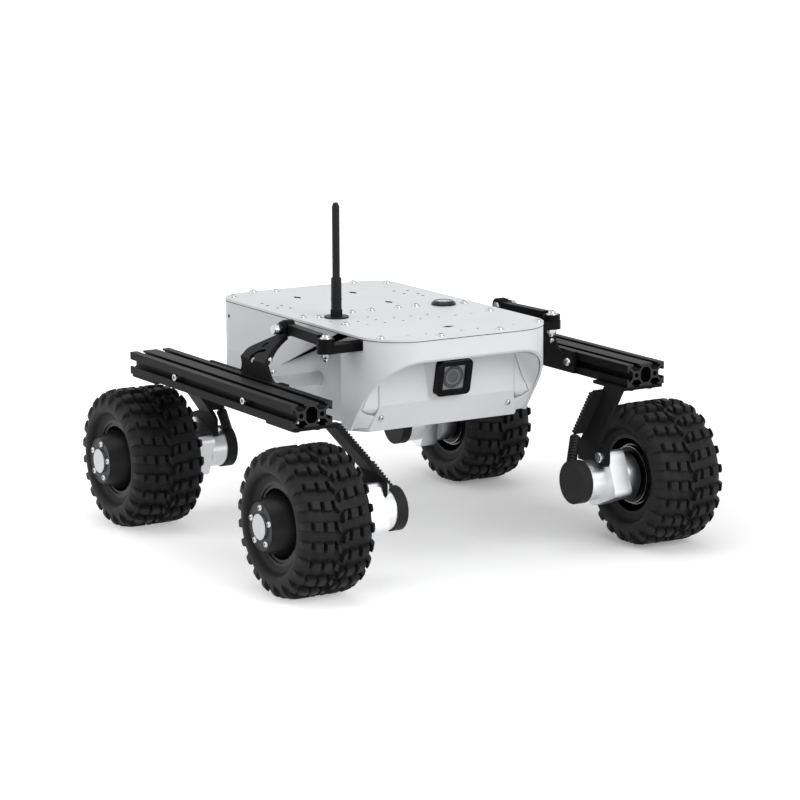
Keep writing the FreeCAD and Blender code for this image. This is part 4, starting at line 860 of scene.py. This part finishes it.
def build_rail_fasteners(side, fasteners):
    """Screws in the rail's slots, the legs' screws under it, and painted shade for its middle
    chamber's mouths.
    """
    low, high = (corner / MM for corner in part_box("rocker_profile_left"))
    middle = (low + high) / 2
    keep_heads(f"rail_screws_{side}", "screw_bright", [
        *(("socket", LEFT, (x, high.y - RAIL_SLOT_DEEP, RAIL_SCREW_Z), fasteners.rail_head / MM, 3.4)
          for x in RAIL_SCREWS_X),
        *(("button", -LEFT, (x, low.y - BRACKET_SHEET, RAIL_SCREW_Z), 8.0, 3.4)
          for x in RAIL_INNER_SCREWS_X),
        *(("hexagon", -UP, (x * RAIL_STUD_X[side], middle.y + row, low.z + RAIL_STUD_LIFT), 8.2, 2.6)
          for x, row in product(ENDS.values(), RAIL_ROWS))], side)
    keep_heads(f"leg_flange_screws_{side}", "screw_black", [
        ("button", -UP, (end * x, middle.y + row, low.z - BRACKET_SHEET), 7.6, 2.2)
        for end, x, row in product(ENDS.values(), LEG_SCREWS_X, RAIL_ROWS)], side)
    # Painted shade: flat dark plates on the rail's ends for the unlit mouths of its middle chamber.
    chambers = bmesh.new()
    for end in ENDS.values():
        place = turned_to(FORWARD * end, mirror((0, middle.y, middle.z), side))
        prism(chambers, place, mirrored(RAIL_CHAMBER), *RAIL_CHAMBER_X)
    keep_piece(f"rail_chambers_{side}", chambers, "bore_shade")


def build_drive_trim(end, side):
    """Polished sleeve of one motor's neck and the ribbed sleeves of its lead."""
    centre = middle_of(f"tyre_{end}_{side}")
    place = turned_to(mirror(LEFT, side), (centre.x, SIDES[side] * NECK_FROM, centre.z))
    turned_piece(f"neck_sleeve_{end}_{side}", place, NECK_PROFILE, 64, "neck_steel")
    sleeves = bmesh.new()
    for start, finish, outer, inner, pitch in LEAD_SLEEVES:
        corrugated(sleeves, mirror(start, side, end), mirror(finish, side, end), outer, inner, pitch)
    keep_piece(f"lead_sleeve_{end}_{side}", sleeves, "cap_black")


def build_leg_screws(end, side, fasteners):
    """The bright screw on the foot of one motor bracket."""
    ahead, out, above = FOOT_SCREW
    centre = middle_of("tyre_front_left")
    at = (centre.x + ahead, out, centre.z + above)
    keep_heads(f"foot_screw_{end}_{side}", "screw_bright",
               [("socket", -LEFT, at, fasteners.foot_head / MM, 4.4)], side, end)


def build_link_fasteners(side):
    """Bolts, nuts and spacer of one differential link."""
    bar = foot_of("differential_bar")
    keep_heads(f"link_screws_{side}", "screw_bright", [
        ("flanged", UP, (bar.x, LINK_BOLT_Y, LINK_BOLT_TOP), 10.4, 3.4),
        ("hexagon", -UP, (bar.x, LINK_BOLT_Y, bar.z), 7.6, LINK_NUT_TALL),
        ("tip", -UP, (bar.x, LINK_BOLT_Y, bar.z - LINK_NUT_TALL), 4.8, 3.3),
        ("hexagon", LEFT, (EAR_X, EAR_OUTER_Y + SPACER_THICK, EAR_Z), 8.4, 5.0),
        ("hexagon", -LEFT, (EAR_X, EAR_NUT_Y, EAR_Z), 7.6, 3.6)], side)
    spacer = bmesh.new()
    place = turned_to(mirror(LEFT, side), mirror((EAR_X, EAR_OUTER_Y, EAR_Z), side))
    washer(spacer, place, 4.8, 2.0, SPACER_THICK)
    keep_piece(f"link_spacer_{side}", spacer, "screw_black")


def build_rocker_fasteners(side):
    """Bright rivets along one rocker bracket's front flange."""
    keep_heads(f"rocker_flange_rivets_{side}", "screw_bright", [
        ("button", FORWARD, (x, FLANGE_RIVETS_Y, z), 4.4, 1.4) for x, z in FLANGE_RIVETS], side)


# Nose and hull

# The hollow at the nose panel's end: where it starts, its steps up, and those along its curve.
CHEEK_LOW = 119.0
CHEEK_RISE = 1.5
CHEEK_STEPS = 38
CURVE_STEPS = 12
# Where the curve starts on the panel, and how far under its face.
PANEL_EDGE = 70.0
PANEL_SINK = 0.1
# Rays from inside look for the front end of the cheek's wall, from here backwards.
WALL_FRONT = 123.0
WALL_BACK = 66.0
WALL_STRIDE = 0.5
# They start this far out, or further behind a place where more than the wall is in their way.
RAY_FROM = 70.0
RAY_FROM_BEHIND = 87.0
RAYS_BEHIND = 92.0
# The wall's inner face lies within this, and the curve ends this far behind the wall's end.
WALL_INSIDE = 91.0
WALL_INSET = 0.8
# How far the curve's corner lies behind the panel and within the wall.
CORNER_BACK = 4.0
CORNER_IN = 0.3
# The hollow is flat where the wall ends this far behind the panel, and full this far ahead.
FLAT_BEHIND = 10.0
FULL_AHEAD = 4.0
CHEEK_THICK = 1.2
# The nose panel's screws on the left, and the way that the panel faces there.
NOSE_SCREW_AT = (86.35, 65.8, 127.9)
NOSE_FACING = Vector((23.8, 0, -8.8)).normalized()
HULL_HOLE_AT = (-144.4, 91.62, 187.5)
HULL_HOLE_RADIUS = 1.7


def face_tree(name):
    """A search tree over a node's faces, in metres."""
    faces = [list(face.vertices) for face in NODES[name].data.polygons]
    return BVHTree.FromPolygons(corners_of(name), faces)


def cheek_edge(shell, height):
    """Front end of the left cheek's inner wall at a height, as (x, y)."""
    x = WALL_FRONT
    while x > WALL_BACK:
        out = RAY_FROM if x > RAYS_BEHIND else RAY_FROM_BEHIND
        wall = shell.ray_cast(Vector((x, out, height)) * MM, LEFT)[0]
        if wall and wall.y < WALL_INSIDE * MM:
            return Vector((x - WALL_INSET, wall.y / MM))
        x -= WALL_STRIDE
    return None


def cheek_section(shell, panel, height):
    """Outline of the left cheek's hollow at a height, or None where there is no hollow."""
    end = cheek_edge(shell, height)
    front = panel.ray_cast(Vector((200, PANEL_EDGE, height)) * MM, -FORWARD)[0]
    if end is None or front is None:
        return None
    start = Vector((front.x / MM - PANEL_SINK, PANEL_EDGE))
    corner = Vector((start.x - CORNER_BACK, end.y - CORNER_IN))
    share = (end.x - start.x + FLAT_BEHIND) / (FLAT_BEHIND + FULL_AHEAD)
    pull = ((start + end) / 2).lerp(corner, min(1, max(0, share)))
    curve = []
    for index in range(CURVE_STEPS + 1):
        part = index / CURVE_STEPS
        curve.append(start.lerp(pull, part).lerp(pull.lerp(end, part), part))
    curve.append(Vector((min(start.x, end.x) - CHEEK_THICK, end.y)))
    return [(at.x, at.y, height) for at in curve]


def build_nose_cheeks():
    """The hollow that runs from the nose panel's ends into the cheeks."""
    shell = face_tree("nose_shell")
    panel = face_tree("nose_panel")
    sections = [cheek_section(shell, panel, CHEEK_LOW + CHEEK_RISE * step)
                for step in range(CHEEK_STEPS + 1)]
    for side in SIDES:
        shape = bmesh.new()
        loft(shape, [[shape.verts.new(mirror(at, side) * MM) for at in section]
                     for section in sections if section])
        keep_piece(f"nose_cheek_{side}", shape, "shell_paint", angle=50)


def build_nose_screws():
    """Bright screws low on the nose panel."""
    keep_heads("nose_screws", "screw_bright", [
        ("button", NOSE_FACING, mirror(NOSE_SCREW_AT, side), 5.6, 1.8) for side in SIDES])


def build_hull_marks():
    """Painted shade for small holes near the hull's rear corners: flat dark discs."""
    shape = bmesh.new()
    for side in SIDES:
        place = turned_to(mirror(LEFT, side), mirror(HULL_HOLE_AT, side))
        hole_disc(shape, place, HULL_HOLE_RADIUS)
    keep_piece("hull_holes", shape, "bore_shade")


# Stage, in metres

# The camera: how it is turned, where it stands, and its lens and sensor in millimetres.
VIEW_YAW = math.radians(148.82)
VIEW_PITCH = math.radians(-11.10)
VIEW_ROLL = math.radians(-0.24)
VIEW_FROM = Vector((2.29984, -1.38594, 0.64929))
VIEW_LENS = 136.0
VIEW_SENSOR = 36
FLOOR_HALF = 15
# Painted light on the floor: a glow seen directly, weakest around this point towards the rover's left
# so that the shadow stays darkest here, and rising from the near to the far distance.
SHADOW_MIDDLE = (0.0, 0.12, 0)
SHADOW_NEAR = 0.1
SHADOW_FAR = 0.6
GLOW_NEAR = 0.2
GLOW_FAR = 0.72
# Strength of the surroundings as light on the rover; seen directly they are plain white.
SURROUNDINGS = 0.45
SOFT_BOX_AIM = Vector((0, 0, 0.12))
# Square soft boxes as name, place, side and the setting that holds their power.
SOFT_BOXES = [
    ("overhead_soft_box", (0.2, -0.2, 2.2), 1.8, "key_power"),
    ("front_soft_box", (2.2, 0.4, 1.3), 1.2, "fill_power"),
    ("side_soft_box", (-0.9, -2.3, 1.0), 1.2, "side_power"),
]


def build_camera():
    """The camera that was fitted to the photograph."""
    turn = (Matrix.Rotation(VIEW_YAW - math.pi / 2, 4, "Z")
            @ Matrix.Rotation(VIEW_PITCH + math.pi / 2, 4, "X")
            @ Matrix.Rotation(VIEW_ROLL, 4, "Z"))
    lens = bpy.data.cameras.new("rover_camera")
    lens.lens = VIEW_LENS
    lens.sensor_width = VIEW_SENSOR
    lens.clip_start = 0.05
    lens.clip_end = 60
    view = add_object("rover_camera", lens)
    view.matrix_world = Matrix.Translation(VIEW_FROM) @ turn
    bpy.context.scene.camera = view


def seen_directly(tree):
    """Whether a ray comes from the camera, a mirror or through glass, as 0 or 1."""
    path = add_node(tree, "ShaderNodeLightPath").outputs
    seen = path["Is Camera Ray"]
    for kind in ("Is Glossy Ray", "Is Transmission Ray"):
        either = add_node(tree, "ShaderNodeMath", operation="MAXIMUM",
                          links={0: seen, 1: path[kind]})
        seen = either.outputs[0]
    return seen


def paper_sweep(colour):
    """Matte white studio paper with a painted glow, seen directly and in mirrors, that rises away
    from the rover: it keeps the rover's soft shadow and reads white elsewhere.
    """
    material, tree, shader = start_material("paper_sweep", Roughness=0.9, Specular_IOR_Level=0.0,
                                            Base_Color=(*colour, 1), Emission_Color=(1, 1, 1, 1))
    place = add_node(tree, "ShaderNodeTexCoord")
    distance = add_node(tree, "ShaderNodeVectorMath", operation="DISTANCE",
                        inputs={1: SHADOW_MIDDLE}, links={0: place.outputs["Object"]})
    glow = add_node(tree, "ShaderNodeMapRange", interpolation_type="SMOOTHSTEP",
                    inputs={"From Min": SHADOW_NEAR, "From Max": SHADOW_FAR,
                            "To Min": GLOW_NEAR, "To Max": GLOW_FAR},
                    links={"Value": distance.outputs["Value"]})
    lift = add_node(tree, "ShaderNodeMath", operation="MULTIPLY",
                    links={0: seen_directly(tree), 1: glow.outputs["Result"]})
    tree.links.new(lift.outputs[0], shader.inputs["Emission Strength"])
    return material


def build_floor(colour):
    """The paper floor."""
    shape = bmesh.new()
    bmesh.ops.create_grid(shape, x_segments=2, y_segments=2, size=FLOOR_HALF)
    floor = add_object("paper_floor", mesh_from("paper_floor", shape, paper_sweep(colour)))


def build_world():
    """White surroundings that light the rover plainly."""
    world = bpy.data.worlds.new("white_studio")
    bpy.context.scene.world = world
    world.use_nodes = True
    tree = world.node_tree
    tree.nodes.clear()
    plain, white = (add_node(tree, "ShaderNodeBackground",
                             inputs={"Color": (1, 1, 1, 1), "Strength": strength})
                    for strength in (SURROUNDINGS, 1.0))
    mix = add_node(tree, "ShaderNodeMixShader", links={
        0: seen_directly(tree), 1: plain.outputs[0], 2: white.outputs[0]})
    add_node(tree, "ShaderNodeOutputWorld", links={"Surface": mix.outputs[0]})


def build_soft_box(name, at, side, power):
    """A square soft light aimed at the rover."""
    lamp = bpy.data.lights.new(name, "AREA")
    lamp.shape = "SQUARE"
    lamp.size = side
    lamp.energy = power
    turn = (Vector(at) - SOFT_BOX_AIM).to_track_quat("Z", "Y").to_matrix().to_4x4()
    add_object(name, lamp).matrix_world = Matrix.Translation(at) @ turn


# Operators

class RoverOperator:
    """What the rover's operators share."""
    bl_options = {"REGISTER", "UNDO"}


class ROVER_OT_finishes(RoverOperator, bpy.types.Operator):
    """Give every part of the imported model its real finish"""
    bl_idname = "rover.finishes"
    bl_label = "Finishes"

    def execute(self, context):
        FINISHES.update(build_materials(context.scene.rover_finish))
        for row in frame["record"]["subparts"]:
            node = NODES[row["node"]]
            if not node.material_slots:
                node.data.materials.append(None)
            for holder in node.material_slots:
                finish = OWN_FINISHES.get(row["node"], row["material_slot"])
                holder.material = FINISHES[finish]
        return {"FINISHED"}


class ROVER_OT_tyres(RoverOperator, bpy.types.Operator):
    """Build the four treaded tyres"""
    bl_idname = "rover.tyres"
    bl_label = "Treaded tyres"

    def execute(self, context):
        for end, side in CORNERS:
            build_tyre(end, side, context.scene.rover_tread)
        return {"FINISHED"}


class ROVER_OT_wheel_trim(RoverOperator, bpy.types.Operator):
    """Build the wheels' screws and rings, with painted highlights on the hubs' lips"""
    bl_idname = "rover.wheel_trim"
    bl_label = "Wheel screws and rings"

    def execute(self, context):
        for end, side in CORNERS:
            build_wheel_trim(end, side)
        return {"FINISHED"}


class ROVER_OT_deck(RoverOperator, bpy.types.Operator):
    """Build the deck's screws, the painted shade of its holes and seam, its button and aerial rings
    """
    bl_idname = "rover.deck"
    bl_label = "Deck details"

    def execute(self, context):
        build_deck_screws(context.scene.rover_fasteners)
        build_deck_holes()
        build_deck_seam()
        build_power_button()
        build_antenna_trim()
        return {"FINISHED"}


class ROVER_OT_nose(RoverOperator, bpy.types.Operator):
    """Build the camera's inside and a painted highlight on its edge, the nose's cheeks and screws,
    and painted shade for the hull's holes
    """
    bl_idname = "rover.nose"
    bl_label = "Nose and camera details"

    def execute(self, context):
        build_camera_details()
        build_nose_cheeks()
        build_nose_screws()
        build_hull_marks()
        return {"FINISHED"}


class ROVER_OT_fasteners(RoverOperator, bpy.types.Operator):
    """Build the screws of rails, rockers, links and legs"""
    bl_idname = "rover.fasteners"
    bl_label = "Chassis fasteners"

    def execute(self, context):
        fasteners = context.scene.rover_fasteners
        for side in SIDES:
            build_rail_fasteners(side, fasteners)
            build_link_fasteners(side)
            build_rocker_fasteners(side)
        for end, side in CORNERS:
            build_leg_screws(end, side, fasteners)
            build_drive_trim(end, side)
        return {"FINISHED"}


class ROVER_OT_stage(RoverOperator, bpy.types.Operator):
    """Build the camera, the paper floor and the lights"""
    bl_idname = "rover.stage"
    bl_label = "Studio"

    def execute(self, context):
        stage = context.scene.rover_stage
        build_camera()
        build_floor(stage.floor)
        build_world()
        for name, at, side, power in SOFT_BOXES:
            build_soft_box(name, at, side, getattr(stage, power))
        context.scene.view_settings.view_transform = "Standard"
        return {"FINISHED"}


class ROVER_PT_panel(bpy.types.Panel):
    """Lists the rover's operators and sizes in the sidebar"""
    bl_label = "Rover"
    bl_idname = "ROVER_PT_panel"
    bl_space_type = "VIEW_3D"
    bl_region_type = "UI"
    bl_category = "Rover"

    def draw(self, context):
        for name in SETTINGS:
            group = getattr(context.scene, name)
            box = self.layout.box()
            for key in group.__annotations__:
                box.prop(group, key)
        for operator in OPERATORS:
            self.layout.operator(operator.bl_idname)


SETTINGS = {
    "rover_finish": RoverFinish,
    "rover_tread": RoverTread,
    "rover_fasteners": RoverFasteners,
    "rover_stage": RoverStage,
}
OPERATORS = (ROVER_OT_finishes, ROVER_OT_tyres, ROVER_OT_wheel_trim, ROVER_OT_deck,
             ROVER_OT_nose, ROVER_OT_fasteners, ROVER_OT_stage)


def register():
    """Add the settings, the operators and the panel."""
    for group in SETTINGS.values():
        bpy.utils.register_class(group)
    for name, group in SETTINGS.items():
        setattr(bpy.types.Scene, name, PointerProperty(type=group))
    for operator in OPERATORS:
        bpy.utils.register_class(operator)
    bpy.utils.register_class(ROVER_PT_panel)


def unregister():
    """Take them out again, in the opposite order."""
    bpy.utils.unregister_class(ROVER_PT_panel)
    for operator in reversed(OPERATORS):
        bpy.utils.unregister_class(operator)
    for name in SETTINGS:
        delattr(bpy.types.Scene, name)
    for group in reversed(SETTINGS.values()):
        bpy.utils.unregister_class(group)


def main():
    """Register the add-on and build everything in order."""
    register()
    for step in (bpy.ops.rover.finishes, bpy.ops.rover.tyres, bpy.ops.rover.wheel_trim,
                 bpy.ops.rover.deck, bpy.ops.rover.nose, bpy.ops.rover.fasteners,
                 bpy.ops.rover.stage):
        step()


if __name__ == "__main__":
    main()
